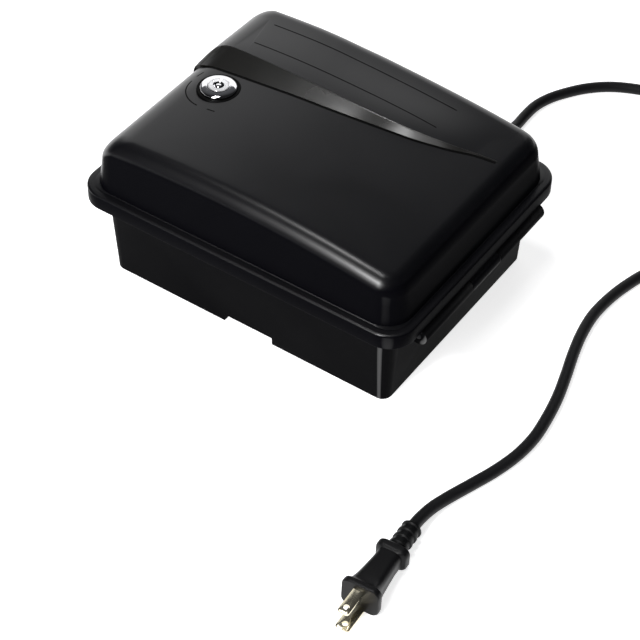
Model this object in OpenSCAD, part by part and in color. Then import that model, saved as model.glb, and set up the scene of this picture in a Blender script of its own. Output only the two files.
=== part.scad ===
// Outdoor landscape lighting controller: a drafted wall box with a hinged, crowned cover,
// a tubular cam lock, a low voltage transformer, a timer panel and a mains lead.
// It lies on its back: +Z leaves the wall through the cover, +Y is up on the wall.

/* [Case] */
// Width of the case at its back, along X
case_w = 189; // [172:1:204]
// Height of the case at its back, along Y
case_h = 145; // [136:1:154]
// Depth of the case from its back to the underside of its rim
case_d = 53.5; // [51:0.5:60]
// Wall thickness of the case
case_wall = 3; // [2.5:0.1:3.6]
// Thickness of the case's back
case_floor = 3; // [2.5:0.1:4]
// How far each wall leans out from back to rim
case_lean = 3; // [1.5:0.1:3.4]
// Corner radius of the case in plan
case_corner = 6; // [5:0.5:9]
// How far the case's middle stands from the cover's, towards the lock
case_shift_x = 1.5; // [0:0.5:2.5]
// How far the case's middle stands below the cover's
case_shift_y = 2; // [0:0.5:2.5]
// Width of the notch in the upper back edge
notch_w = 33; // [20:1:45]
// Height of the notch in the upper back edge
notch_h = 5; // [3.5:0.5:7]
// Distance between the two lower mounting holes
mount_pitch = 140; // [120:1:150]
// Radius of a mounting hole
mount_r = 2.5; // [2:0.1:3]
// Distance between the two hanging keyholes
keyhole_pitch = 110; // [100:1:116]

/* [Cover] */
// How far the flange stands out beyond the case's back on each side, along X
flange_reach_x = 13.5; // [12:0.5:17]
// How far the flange stands out beyond the case's back above and below, along Y
flange_reach_y = 12.5; // [12:0.5:17]
// Depth of the flange's face
flange_d = 9.7; // [9:0.1:12]
// Corner radius of the flange in plan
flange_corner = 16; // [12:0.5:20]
// Wall thickness of the flange's skirt
skirt_wall = 3; // [2.5:0.1:3.4]
// Width of the flange's ledge round the dome
dome_step = 5; // [4:0.5:6]
// How far the dome's wall leans in below its rounded edge
dome_lean = 2.5; // [1:0.1:4]
// Radius of the dome's rounded upper edge
dome_round = 10; // [8:0.5:12]
// Radius of that edge along the lock's side
lock_side_round = 24; // [21:0.5:25]
// Radius of that edge along the lower side
low_side_round = 4; // [3.6:0.2:6]
// Wall thickness of the dome
dome_wall = 2.8; // [2.4:0.1:3.2]
// Height of the crown's highest line above the flange
crown_rise = 36.8; // [34:0.1:42]
// Radius of the crown's arc across the width
crown_r = 700; // [650:10:900]
// Distance of the crown's highest line from the middle, towards the lock
crown_x = 22; // [10:1:30]
// Greatest height of the brow above the crown
brow_rise = 5.5; // [3:0.1:7]

/* [Hinge] */
// Distance of the hinge axis inside the flange's edge
hinge_inset = 2.5; // [2.3:0.1:2.7]
// Distance of the hinge axis below the case's rim
hinge_drop = 2; // [1.5:0.1:2.5]
// Radius of a hinge knuckle
knuckle_r = 5.5; // [5:0.1:6]
// Radius of the hinge pin
hinge_pin_r = 2; // [1.5:0.1:2.5]
// Length of the three knuckles together
hinge_len = 123; // [100:1:130]
// Length of the middle knuckle, which the cover carries
mid_knuckle = 27.6; // [20:0.5:40]

/* [Lock] */
// Distance of the lock's axis from the dome's side
lock_inset = 36; // [34:0.5:42]
// Place of the lock along Y
lock_y = 4.5; // [0:0.5:8]
// Radius of the lock's chromed head
lock_head_r = 10.2; // [9.5:0.1:11]
// Radius of the lock's threaded barrel
lock_barrel_r = 9.2; // [8.5:0.1:9.4]
// Length of the lock's barrel below the cover's face
lock_len = 24; // [22:0.5:25]
// Radius of the turning plug
plug_r = 5.6; // [5:0.1:6]

/* [Panel] */
// Height of the panel's underside above the underside of the case's rim
panel_lift = 2.5; // [2:0.5:3.5]
// Thickness of the panel
panel_t = 2.5; // [2:0.1:3]
// Width of the display's window
window_w = 54; // [46:1:56]
// Height of the display's window
window_h = 28; // [24:1:30]
// Width of a button's cap
button_w = 10; // [8:0.5:11]
// Height of a button's cap
button_h = 7; // [6:0.5:8]
// Distance between neighbouring buttons
button_pitch = 16; // [14.5:0.5:17]
// Travel of a button
button_travel = 1; // [0.6:0.1:1]

/* [Transformer] */
// Gap between the core and the case's side
core_side = 10; // [8:0.5:12]
// Gap between the core and the case's upper wall
core_above = 16.5; // [15:0.5:18]
// Gap between the winding and the case's floor
winding_over = 4.5; // [4:0.5:6]
// Gap between the winding and the panel
winding_under = 3.5; // [3:0.5:6]

/* [Cord] */
// Diameter of the mains lead
cord_d = 7; // [6:0.1:7.2]

/* [Plug] */
// Width of the plug's face across its blades' width
face_w = 21.5; // [20:0.1:23]
// Height of the plug's face along its blades' spacing
face_h = 17.8; // [17:0.1:19]
// Length of the plug's moulded body, behind its face
plug_len = 36; // [32:0.5:40]
// Length of the plug's ribbed sleeve
sleeve_len = 18; // [15:0.5:22]
// Distance between the two blades
blade_pitch = 12.7; // [12.7:0.1:12.7]
// Length of a blade outside the plug
blade_len = 17.5; // [16:0.1:18.3]
// Thickness of a blade
blade_t = 1.5; // [1.4:0.05:1.6]
// Width of the wide blade
blade_wide = 7.9; // [7.9:0.1:8.3]
// Width of the narrow blade
blade_narrow = 6.35; // [6.1:0.05:6.5]

/* [Hidden] */

overrun = 1;       // how far every cut runs past its face
fit = 0.3;         // clearance between pieces that may move
pin_fit = 0.05;    // radial clearance of a turning pin
screw_fit = 0.1;   // radial clearance of a screw in its hole
fine = 64;         // facets of a large circle
small = 32;        // facets of a small circle
quarter = 90;      // degrees of a quarter turn
full_turn = 360;   // degrees of a whole turn
hexagon = 6;       // sides of a nut
hex_half = 30;     // degrees of half a nut's side
corner_steps = 7;  // facets of a quarter corner
side_steps = 10;   // facets of a long edge

panel_z = case_d + panel_lift;
board_drop = 12;
board_z = panel_z - board_drop;

// Sides of the case's back
case_x0 = case_shift_x - case_w / 2;
case_x1 = case_shift_x + case_w / 2;
case_y0 = -case_shift_y - case_h / 2;
case_y1 = -case_shift_y + case_h / 2;

// Rim where case and cover meet
shelf_t = 3;
shelf_gap = 0.6;
seam = 2.3;        // height of the case's rim left showing under the flange
flange_z = case_d + seam;
flange_top = flange_z + flange_d;
flange_w = case_w + 2 * flange_reach_x;
flange_h = case_h + 2 * flange_reach_y;
dome_w = flange_w - 2 * dome_step;
dome_h = flange_h - 2 * dome_step;
crown_z = flange_top + crown_rise;
lock_x = dome_w / 2 - lock_inset;
shelf_w = flange_w - 2 * (skirt_wall + shelf_gap);
shelf_h = flange_h - 2 * (skirt_wall + shelf_gap);
shelf_corner = flange_corner - skirt_wall - shelf_gap;
ledge_in = 8.5;    // how far the cover's inner ledge reaches in from the skirt
ledge_t = 3;
ledge_w = flange_w - 2 * (skirt_wall + ledge_in);
ledge_h = flange_h - 2 * (skirt_wall + ledge_in);
ledge_corner = flange_corner - ledge_in;
ledge_under = flange_top - ledge_t;
gasket_t = 1.7;
gasket_w = 5.4;
gasket_z = ledge_under - gasket_t;
rib_t = 3;         // thickness of the case's sealing rib
rib_top = gasket_z - fit;
rib_w = ledge_w + 2 * (gasket_w / 2 + rib_t / 2 + shelf_gap);
rib_h = ledge_h + 2 * (gasket_w / 2 + rib_t / 2 + shelf_gap);
rib_corner = ledge_corner + rib_t;

// Plan points of a rectangle with round corners, counter-clockwise, long edges divided
function round_plan(w, h, r, inset = 0) =
    let (a = w / 2 - inset, b = h / 2 - inset, c = max(r - inset, fit))
    [for (q = [0:3]) let (sx = (q == 0 || q == 3) ? 1 : -1, sy = q < 2 ? 1 : -1)
        each concat(
            [for (i = [0:corner_steps]) let (t = quarter * (q + i / corner_steps))
                [sx * (a - c) + c * cos(t), sy * (b - c) + c * sin(t)]],
            (q % 2 == 0) ? [for (i = [1:side_steps - 1])
                [sx * (a - c) * (1 - 2 * i / side_steps), sy * b]] : [])];
function at_height(plan, z) = [for (p = plan) [p[0], p[1], z]];
function middle(ring) = [for (k = [0:2]) [for (p = ring) p[k]] * [for (p = ring) 1] / len(ring)];

// Solid through a list of rings of equal count, each end closed by a fan
module loft(rings) {
    n = len(rings[0]);
    m = len(rings);
    polyhedron(
        points = concat([for (r = rings) each r], [middle(rings[0]), middle(rings[m - 1])]),
        faces = concat(
            [for (i = [0:n - 1]) [n * m, i, (i + 1) % n]],
            [for (i = [0:n - 1]) [n * m + 1, (m - 1) * n + (i + 1) % n, (m - 1) * n + i]],
            [for (k = [0:m - 2], i = [0:n - 1]) let (j = (i + 1) % n)
                each [[k * n + i, (k + 1) * n + i, (k + 1) * n + j],
                    [k * n + i, (k + 1) * n + j, k * n + j]]]));
}

module plate(w, h, r, z0, z1, inset = 0) {
    translate([0, 0, z0]) linear_extrude(z1 - z0)
        translate([-w / 2 + inset, -h / 2 + inset])
            rounded_square(w - 2 * inset, h - 2 * inset, max(r - inset, fit));
}
// Rectangle with true round corners, from the origin
module rounded_square(w, h, r) {
    for (x = [r, w - r], y = [r, h - r]) translate([x, y]) circle(r, $fn = small);
    translate([r, 0]) square([w - 2 * r, h]);
    translate([0, r]) square([w, h - 2 * r]);
}
module ring_plate(w, h, r, width, z0, z1) {
    difference() {
        plate(w, h, r, z0, z1);
        plate(w, h, r, z0 - overrun, z1 + overrun, inset = width);
    }
}
module post(x, y, z0, z1, r, n = small) {
    translate([x, y, z0]) cylinder(h = z1 - z0, r = r, $fn = n);
}
module box(x, y, z) {
    translate([x[0], y[0], z[0]]) cube([x[1] - x[0], y[1] - y[0], z[1] - z[0]]);
}
// Cylinder along Y from y0 to y1
module rod_y(x, z, y0, y1, r, n = small) {
    translate([x, y0, z]) rotate([-quarter, 0, 0]) cylinder(h = y1 - y0, r = r, $fn = n);
}
// Pan head screw: shank down from the seat, head above it, cross recess left plain
module pan_screw(x, y, seat, shank_r, shank_len, head_r, head_t) {
    post(x, y, seat - shank_len, seat, shank_r);
    translate([x, y, seat]) rotate_extrude($fn = small)
        polygon([[0, 0], [head_r, 0], [head_r, head_t * head_flat_share],
            [head_r * head_top_share, head_t], [0, head_t]]);
}
head_flat_share = 0.45;
head_top_share = 0.72;

// Hinge
hinge_x = -(flange_w / 2 - hinge_inset);
hinge_z = case_d - hinge_drop;
knuckle_gap = 0.4;
outer_start = mid_knuckle / 2 + knuckle_gap;
knuckle_web = 5;    // height of the web that carries a case knuckle
sweep_gap = 0.4;

module case_knuckles() {
    for (s = [0, 1]) mirror([0, s, 0]) {
        rod_y(hinge_x, hinge_z, outer_start, hinge_len / 2, knuckle_r);
        box([hinge_x, case_x0], [outer_start, hinge_len / 2], [hinge_z - knuckle_web, case_d + fit]);
    }
}

// Case
rim_w = case_w + 2 * case_lean;
rim_h = case_h + 2 * case_lean;
function lean_at(z) = case_lean * z / case_d;
notch_depth = 4;
notch_cheek = 3.5;
post_r = 4.5;
screw_r = 1.5;
screw_len = 9;
screw_head_r = 3;
screw_head_t = 2;
pilot_r = screw_r + screw_fit;
post_web_t = 1.8;   // thickness of the web between a post and the case's side
post_web_drop = 4;
floor_rib_t = 1.6;
floor_rib_h = 3;
floor_rib_x_shares = [-0.13, 0.12];
floor_rib_y_shares = [-0.23, 0.02];

// Hanging keyholes in the back
keyhole_r = 4.6;
keyhole_slot_r = 2.5;
keyhole_drop = 23.5;
keyhole_y = case_y1 - keyhole_drop;
keyhole_rise = 8;
mount_inset = 12.5;
mount_y = case_y0 + mount_inset;

// Cable exits in the lower wall
exit_z = 22;
exit_pad_r = 12;
exit_pad_proud = 1.7;
wall_gap = 0.6;     // kept between what is set in a leaning wall and its face
exit_pad_y = case_y0 - lean_at(exit_z) - exit_pad_proud;
cord_exit_x = -33;
cord_hole_r = 8;
grommet_xs = [16, 46];
grommet_hole_r = 6.2;
exit_wall_in = case_y0 - lean_at(exit_z) + case_wall + wall_gap;

// Boss that carries the strike
strike_start = 3;
strike_x0 = lock_x + strike_start;
strike_drop = 8;    // from the board down to the strike's foot
strike_z = board_z - strike_drop;
strike_half = 9;
strike_screw_x = strike_x0 + 2 * strike_start;
strike_screw_gap = 11;

// Transformer place
core_w_share = 0.6;  // of the case's width, less what the timer takes
core_w_less = 33.4;
core_l_less = 81;
core_w = case_w * core_w_share - core_w_less;
core_l = case_h - core_l_less;
core_x = case_x0 + core_side + core_w / 2;
core_y = case_y1 - core_above - core_l / 2;
limb_share = 0.325;
limb_w = core_w * limb_share;
outer_limb = limb_w / 2;
yoke = limb_w / 2;
winding_side = 2.5;  // gap between the winding and the outer limb
winding_t = core_w / 2 - outer_limb - limb_w / 2 - winding_side;
core_z = case_floor + winding_over + winding_t;
core_stack = panel_z - winding_under - winding_t - core_z;
bolt_inset = 4;
bolt_r = 1.6;
bolt_hole_r = 2.1;
bolt_head_r = 3.6;
bolt_head_t = 2.6;
boss_r = 4;
bolt_spots = [for (sx = [-1, 1], sy = [-1, 1])
    [core_x + sx * (core_w / 2 - bolt_inset), core_y + sy * (core_l / 2 - bolt_inset)]];

// Terminal block place
terminal_x = 18;
terminal_inset = 29.5;
terminal_y = case_y0 + terminal_inset;
terminal_l = 70;
terminal_w = 22;
terminal_drop = 23.5;
terminal_z = case_d - terminal_drop;
terminal_screw_x = 30;

module case_shell() {
    difference() {
        translate([case_shift_x, -case_shift_y, 0]) loft([at_height(round_plan(case_w, case_h, case_corner), 0),
            at_height(round_plan(rim_w, rim_h, case_corner + case_lean), case_d + shelf_t)]);
        translate([case_shift_x, -case_shift_y, 0]) loft([
            at_height(round_plan(case_w + 2 * lean_at(case_floor), case_h + 2 * lean_at(case_floor),
                case_corner, case_wall), case_floor),
            at_height(round_plan(rim_w, rim_h, case_corner + case_lean, case_wall),
                case_d + shelf_t + overrun)]);
    }
    difference() {
        plate(shelf_w, shelf_h, shelf_corner, case_d, case_d + shelf_t);
        translate([case_shift_x, -case_shift_y, 0])
            plate(rim_w, rim_h, case_corner, case_d - overrun, case_d + shelf_t + overrun,
                inset = case_wall / 2);
    }
    ring_plate(rib_w, rib_h, rib_corner, rib_t, case_d + shelf_t - fit, rib_top);
}

// Low ribs across the floor, and webs that tie the panel's posts to the case's sides
module floor_ribs() {
    for (s = floor_rib_x_shares) box([s * case_w - floor_rib_t / 2, s * case_w + floor_rib_t / 2],
        [case_y0 + case_wall / 2, case_y1 - case_wall / 2], [case_floor / 2, case_floor + floor_rib_h]);
    for (s = floor_rib_y_shares) box([case_x0 + case_wall / 2, case_x1 - case_wall / 2],
        [s * case_h - floor_rib_t / 2, s * case_h + floor_rib_t / 2],
        [case_floor / 2, case_floor + floor_rib_h]);
}
module post_webs() {
    for (i = [0:3]) let (x = panel_post(i)[0], y = panel_post(i)[1], side = x < 0 ? case_x0 : case_x1)
        box([min(x, side), max(x, side)], [y - post_web_t / 2, y + post_web_t / 2],
            [case_floor / 2, panel_z - post_web_drop]);
}

module rear_case() {
    color([0.13, 0.13, 0.14])
    difference() {
        union() {
            case_shell();
            case_knuckles();
            box([-notch_w / 2 - notch_cheek, notch_w / 2 + notch_cheek],
                [case_y1 - notch_depth - notch_cheek, case_y1 - case_wall / 2],
                [case_floor / 2, notch_h + notch_cheek]);
            for (i = [0:3]) post(panel_post(i)[0], panel_post(i)[1], case_floor / 2, panel_z, post_r);
            for (p = bolt_spots) post(p[0], p[1], case_floor / 2, core_z, boss_r);
            for (s = [-1, 1]) post(terminal_x + s * terminal_screw_x, terminal_y, case_floor / 2,
                terminal_z, boss_r);
            floor_ribs();
            post_webs();
            box([strike_x0, case_x1 - case_wall / 2], [lock_y - strike_half, lock_y + strike_half],
                [case_floor / 2, strike_z]);
            for (x = concat([cord_exit_x], grommet_xs))
                rod_y(x, exit_z, exit_pad_y, case_y0 + case_wall / 2, exit_pad_r, fine);
        }
        box([-notch_w / 2, notch_w / 2], [case_y1 - notch_depth, case_y1 + notch_depth],
            [-overrun, notch_h]);
        rod_y(hinge_x, hinge_z, -hinge_len, hinge_len, hinge_pin_r + pin_fit);
        rod_y(hinge_x, hinge_z, -outer_start, outer_start, knuckle_r + sweep_gap);
        for (i = [0:3]) post(panel_post(i)[0], panel_post(i)[1], panel_z - screw_len,
            panel_z + overrun, pilot_r);
        for (p = bolt_spots) post(p[0], p[1], case_floor, core_z + overrun, bolt_r + screw_fit);
        for (s = [-1, 1]) post(terminal_x + s * terminal_screw_x, terminal_y, terminal_z - screw_len,
            terminal_z + overrun, pilot_r);
        for (s = [-1, 1]) post(strike_screw_x, lock_y + s * strike_screw_gap / 2, strike_z - screw_len,
            strike_z + overrun, pilot_r);
        for (s = [-1, 1]) {
            keyhole_x = case_shift_x + s * keyhole_pitch / 2;
            post(case_shift_x + s * mount_pitch / 2, mount_y, -overrun, case_floor + overrun, mount_r);
            post(keyhole_x, keyhole_y, -overrun, case_floor + overrun, keyhole_r);
            post(keyhole_x, keyhole_y + keyhole_rise, -overrun, case_floor + overrun, keyhole_slot_r);
            box([keyhole_x - keyhole_slot_r, keyhole_x + keyhole_slot_r],
                [keyhole_y, keyhole_y + keyhole_rise], [-overrun, case_floor + overrun]);
        }
        rod_y(cord_exit_x, exit_z, exit_pad_y - overrun, exit_wall_in + cord_hole_r,
            cord_hole_r + screw_fit, fine);
        for (x = grommet_xs)
            rod_y(x, exit_z, exit_pad_y - overrun, exit_wall_in + cord_hole_r,
                grommet_hole_r + screw_fit, fine);
        // The pads end flush with the wall's inner face
        box([cord_exit_x - exit_pad_r - overrun, grommet_xs[1] + exit_pad_r + overrun],
            [exit_wall_in, exit_wall_in + exit_pad_r],
            [exit_z - exit_pad_r - overrun, exit_z + exit_pad_r + overrun]);
    }
}

// Cover
function crown_at(x) = crown_z - (x - crown_x) * (x - crown_x) / (2 * crown_r);
round_steps = 6;
top_ring_shares = [0.72, 0.4, 0.1];
heart_corner = 3.5;
// Middle of the edge's radii, where the crown ends
heart_x = [dome_lean + dome_round - dome_w / 2, dome_w / 2 - dome_lean - lock_side_round];
heart_y = [dome_lean + low_side_round - dome_h / 2, dome_h / 2 - dome_lean - dome_round];
heart = [for (p = round_plan(heart_x[1] - heart_x[0], heart_y[1] - heart_y[0], heart_corner, 0))
    [p[0] + (heart_x[0] + heart_x[1]) / 2, p[1] + (heart_y[0] + heart_y[1]) / 2]];
// Radius of the edge for each point, after the way that its outline faces
edge_round = let (outer = round_plan(dome_w, dome_h, flange_corner, 0),
        inner = round_plan(dome_w, dome_h, flange_corner, 1))
    [for (i = [0:len(outer) - 1]) let (n = outer[i] - inner[i])
        n[0] * n[0] * (n[0] > 0 ? lock_side_round : dome_round)
            + n[1] * n[1] * (n[1] < 0 ? low_side_round : dome_round)];
// Rings of the dome, drawn in by t on every side
function dome_rings(t, z0) =
    let (foot = round_plan(dome_w, dome_h, flange_corner, t),
        edge = round_plan(dome_w, dome_h, flange_corner, t + dome_lean))
    concat(
        [at_height(foot, z0)],
        [for (k = [0:round_steps]) let (a = quarter * k / round_steps)
            [for (i = [0:len(heart) - 1]) let (p = heart[i] + (edge[i] - heart[i]) * cos(a))
                [p[0], p[1], crown_at(heart[i][0]) - t - (edge_round[i] - t) * (1 - sin(a))]]],
        [for (s = top_ring_shares) [for (p = heart) [p[0] * s, p[1] * s, crown_at(p[0] * s) - t]]]);

// Brow: stations along the crown from its tip to the lock side, then down the rounded edge
brow_x_shares = [-0.885, -0.79, -0.6, -0.35, 0, 0.3, 0.58, 0.7];
brow_front_shares = [-0.535, -0.47, -0.36, -0.235, -0.19, -0.182, -0.172, -0.155];
brow_back_shares = [-0.54, -0.505, -0.44, -0.385, -0.375, -0.38, -0.395, -0.405];
brow_rise_shares = [0.02, 0.2, 0.5, 0.78, 0.93, 0.97, 1, 1];
brow_turn_angles = [70, 55, 40, 28];
brow_turn_front_shares = [-0.15, -0.155, -0.17, -0.185];
brow_turn_back_shares = [-0.41, -0.42, -0.42, -0.4];
brow_turn_rise_shares = [0.95, 0.75, 0.5, 0.2];
brow_slope_shares = [[0, 0.06], [0.25, 0.38], [0.5, 0.7], [0.75, 1], [0.88, 0.96], [1, 0.4]];
brow_sink = 1.4;
function brow_ring(foot, normal, front, back, rise) =
    let (line = concat([[0, -brow_sink / rise]], brow_slope_shares, [[1, -brow_sink / rise]]))
    [for (q = line) [foot[0] + normal[0] * rise * q[1], front + (back - front) * q[0],
        foot[1] + normal[1] * rise * q[1]]];
function brow_rings() = concat(
    [for (i = [0:len(brow_x_shares) - 1]) let (x = brow_x_shares[i] * dome_w / 2)
        brow_ring([x, crown_at(x)], [0, 1], brow_front_shares[i] * dome_h / 2,
            brow_back_shares[i] * dome_h / 2, brow_rise * brow_rise_shares[i])],
    [for (i = [0:len(brow_turn_angles) - 1])
        let (a = brow_turn_angles[i], x = heart_x[1])
        brow_ring([x + lock_side_round * cos(a), crown_at(x) - lock_side_round * (1 - sin(a))],
            [cos(a), sin(a)],
            brow_turn_front_shares[i] * dome_h / 2, brow_turn_back_shares[i] * dome_h / 2,
            brow_rise * brow_turn_rise_shares[i])]);

// Lock seat
bezel_r = 12.4;
bezel_t = 1.6;
bezel_proud = 0.7;
bezel_z = crown_at(lock_x) + bezel_proud;
cover_inside_z = crown_at(lock_x) - dome_wall;
lock_boss_r = 14;
lock_boss_t = 1.6;
lock_boss_z = cover_inside_z - lock_boss_t;

module front_cover() {
    color([0.16, 0.16, 0.17])
    difference() {
        union() {
            plate(flange_w, flange_h, flange_corner, flange_z, flange_top);
            loft(dome_rings(0, flange_top - fit));
            loft(brow_rings());
            rod_y(hinge_x, hinge_z, -mid_knuckle / 2, mid_knuckle / 2, knuckle_r);
            box([-flange_w / 2, -flange_w / 2 + skirt_wall], [-mid_knuckle / 2, mid_knuckle / 2],
                [hinge_z, flange_z + fit]);
        }
        difference() {
            loft(dome_rings(dome_wall, flange_top - fit));
            post(lock_x, lock_y, lock_boss_z, crown_z, lock_boss_r, fine);
        }
        plate(flange_w, flange_h, flange_corner, flange_z - overrun, ledge_under, inset = skirt_wall);
        plate(ledge_w, ledge_h, ledge_corner, flange_z, flange_top + fit);
        for (s = [0, 1]) mirror([0, s, 0])
            rod_y(hinge_x, hinge_z, outer_start - knuckle_gap / 2, hinge_len / 2 + knuckle_gap,
                knuckle_r + sweep_gap);
        rod_y(hinge_x, hinge_z, -hinge_len, hinge_len, hinge_pin_r + pin_fit);
        post(lock_x, lock_y, lock_boss_z - overrun, crown_z + brow_rise, lock_barrel_r + screw_fit, fine);
        post(lock_x, lock_y, bezel_z - overrun, crown_z + brow_rise, bezel_r + screw_fit, fine);
    }
}

module cover_gasket() {
    color([0.08, 0.08, 0.08])
    difference() {
        plate(ledge_w + 2 * (gasket_w + shelf_gap), ledge_h + 2 * (gasket_w + shelf_gap),
            ledge_corner + gasket_w, gasket_z, ledge_under);
        plate(ledge_w + 2 * shelf_gap, ledge_h + 2 * shelf_gap, ledge_corner,
            gasket_z - overrun, ledge_under + overrun);
    }
}

module hinge_pin() {
    color([0.7, 0.7, 0.72])
    rod_y(hinge_x, hinge_z, -hinge_len / 2, hinge_len / 2, hinge_pin_r);
}

// Lock
head_rise = 3.6;
head_edge = 1.1;
head_top_r = 6.8;
barrel_z = bezel_z + bezel_t;
barrel_low = crown_at(lock_x) - lock_len;
plug_proud = 0.1;
plug_top = barrel_z + head_rise + plug_proud;
key_ring_out = 3.9;
key_ring_in = 2.7;
key_ring_depth = 5;
nut_af = 26;
nut_t = 4;
cam_t = 2;
cam_w = 12;
cam_top = barrel_low - fit;
cam_low = cam_top - cam_t;

module lock_bezel() {
    color([0.05, 0.05, 0.05])
    translate([lock_x, lock_y, bezel_z - overrun]) difference() {
        cylinder(h = bezel_t + overrun, r = bezel_r, $fn = fine);
        translate([0, 0, -overrun])
            cylinder(h = bezel_t + 3 * overrun, r = lock_barrel_r + screw_fit, $fn = fine);
    }
}
module lock_housing() {
    color([0.8, 0.8, 0.82])
    difference() {
        union() {
            translate([lock_x, lock_y, barrel_z]) rotate_extrude($fn = fine)
                polygon([[0, 0], [lock_head_r, 0], [lock_head_r, head_edge],
                    [(lock_head_r + head_top_r) / 2, (head_rise + head_edge) / 2 + screw_r / 2],
                    [head_top_r, head_rise], [0, head_rise]]);
            post(lock_x, lock_y, barrel_low, barrel_z + fit, lock_barrel_r, fine);
        }
        post(lock_x, lock_y, barrel_low - overrun, barrel_z + head_rise + overrun, plug_r + pin_fit, fine);
    }
}
module lock_nut() {
    color([0.7, 0.7, 0.72])
    difference() {
        post(lock_x, lock_y, lock_boss_z - nut_t, lock_boss_z, nut_af / 2 / cos(hex_half), hexagon);
        post(lock_x, lock_y, lock_boss_z - nut_t - overrun, lock_boss_z + overrun,
            lock_barrel_r + screw_fit, fine);
    }
}
module lock_plug() {
    color([0.78, 0.78, 0.8])
    difference() {
        post(lock_x, lock_y, cam_top, plug_top, plug_r, fine);
        difference() {
            post(lock_x, lock_y, plug_top - key_ring_depth, plug_top + overrun, key_ring_out);
            post(lock_x, lock_y, plug_top - key_ring_depth - overrun, plug_top + overrun, key_ring_in);
        }
        post(lock_x, lock_y, cam_top - overrun, cam_top + screw_len, pilot_r);
    }
}
// The cam points down the wall when unlocked and swings under the strike's lip
module lock_cam() {
    color([0.65, 0.65, 0.67])
    difference() {
        union() {
            post(lock_x, lock_y, cam_low, cam_top, cam_w / 2);
            box([lock_x - cam_w / 2, lock_x + cam_w / 2],
                [lock_y - cam_reach + cam_w / 2, lock_y], [cam_low, cam_top]);
            post(lock_x, lock_y - cam_reach + cam_w / 2, cam_low, cam_top, cam_w / 2);
        }
        post(lock_x, lock_y, cam_low - overrun, cam_top + overrun, pilot_r);
    }
}
module cam_screw() {
    color([0.7, 0.7, 0.72])
    translate([0, 0, 2 * cam_low]) mirror([0, 0, 1])
        pan_screw(lock_x, lock_y, cam_low, screw_r, screw_len, screw_head_r, screw_head_t);
}

// Strike
strike_t = 1.5;
strike_gap = 1.6;
strike_web_x = case_x1 + lean_at(strike_z) - case_wall - strike_gap;
lip_gap = 0.5;
lip_z = cam_top + lip_gap;
lip_len = 9;
cam_gap = 1.3;      // between the cam's tip and the strike's web
cam_reach = strike_web_x - strike_t - cam_gap - lock_x;
module strike_bracket() {
    color([0.72, 0.72, 0.7])
    difference() {
        union() {
            box([strike_x0, strike_web_x], [lock_y - strike_half + fit, lock_y + strike_half - fit],
                [strike_z, strike_z + strike_t]);
            box([strike_web_x - strike_t, strike_web_x],
                [lock_y - strike_half + fit, lock_y + strike_half - fit], [strike_z, lip_z + strike_t]);
            box([strike_web_x - lip_len, strike_web_x],
                [lock_y - strike_half + fit, lock_y + strike_half - fit], [lip_z, lip_z + strike_t]);
        }
        for (s = [-1, 1]) post(strike_screw_x, lock_y + s * strike_screw_gap / 2, strike_z - overrun,
            strike_z + strike_t + overrun, pilot_r);
    }
}
module strike_screws() {
    color([0.7, 0.7, 0.72])
    for (s = [-1, 1]) pan_screw(strike_screw_x, lock_y + s * strike_screw_gap / 2, strike_z + strike_t,
        screw_r, screw_len, screw_head_r, screw_head_t);
}

// Panel
panel_top = panel_z + panel_t;
panel_margin = 5;
panel_gap = 18;     // from the middle of the terminal block to the panel
panel_x0 = case_x0 + panel_margin;
panel_x1 = strike_web_x - strike_t - fit;
panel_y0 = terminal_y + panel_gap;
panel_y1 = case_y1 - panel_margin;
panel_corner = 4;
post_inset_x = 6.2;
post_inset_y = 5.4;
panel_post_spots = [for (y = [panel_y1 - post_inset_y, panel_y0 + post_inset_y],
    x = [panel_x0 + post_inset_x, panel_x1 - post_inset_x]) [x, y]];
function panel_post(i) = panel_post_spots[i];
skirt_inset = 14;   // from the panel's ends to its lower skirt
skirt_t = 1.8;
skirt_h = 6;
frame_w = 3;        // raised frame round the window
frame_rise = 1;
window_inset_x = 50;
window_inset_y = 36.5;
window_x = case_x1 - window_inset_x;
window_y = case_y1 - window_inset_y;
lens_seat = 1.5;
lens_t = 1.2;
button_share = 0.68;    // place of the buttons between the panel's edge and the window
button_y = panel_y0 + (window_y - window_h / 2 - panel_y0) * button_share;
button_xs = [for (i = [0:3]) window_x + (i - 1.5) * button_pitch];
board_t = 1.6;
board_reach = [36, 30];    // left and right of the window's middle
board_rise = 22;           // above the window's middle
board_margin = 3;          // from the panel's lower edge to the board's
board_x = [window_x - board_reach[0], window_x + board_reach[1]];
board_y = [panel_y0 + board_margin, window_y + board_rise];
board_inset = 4;
standoff_r = 3;
board_spots = [for (x = [board_x[0] + board_inset, board_x[1] - board_inset],
    y = [board_y[0] + board_inset, board_y[1] - board_inset]) [x, y]];
breaker_inset = 33;
breaker_drop = 8.5;
breaker_x = case_x0 + breaker_inset;
breaker_y = panel_y0 + breaker_drop;
neck_r = 4.8;
button_gap = 0.4;

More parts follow.
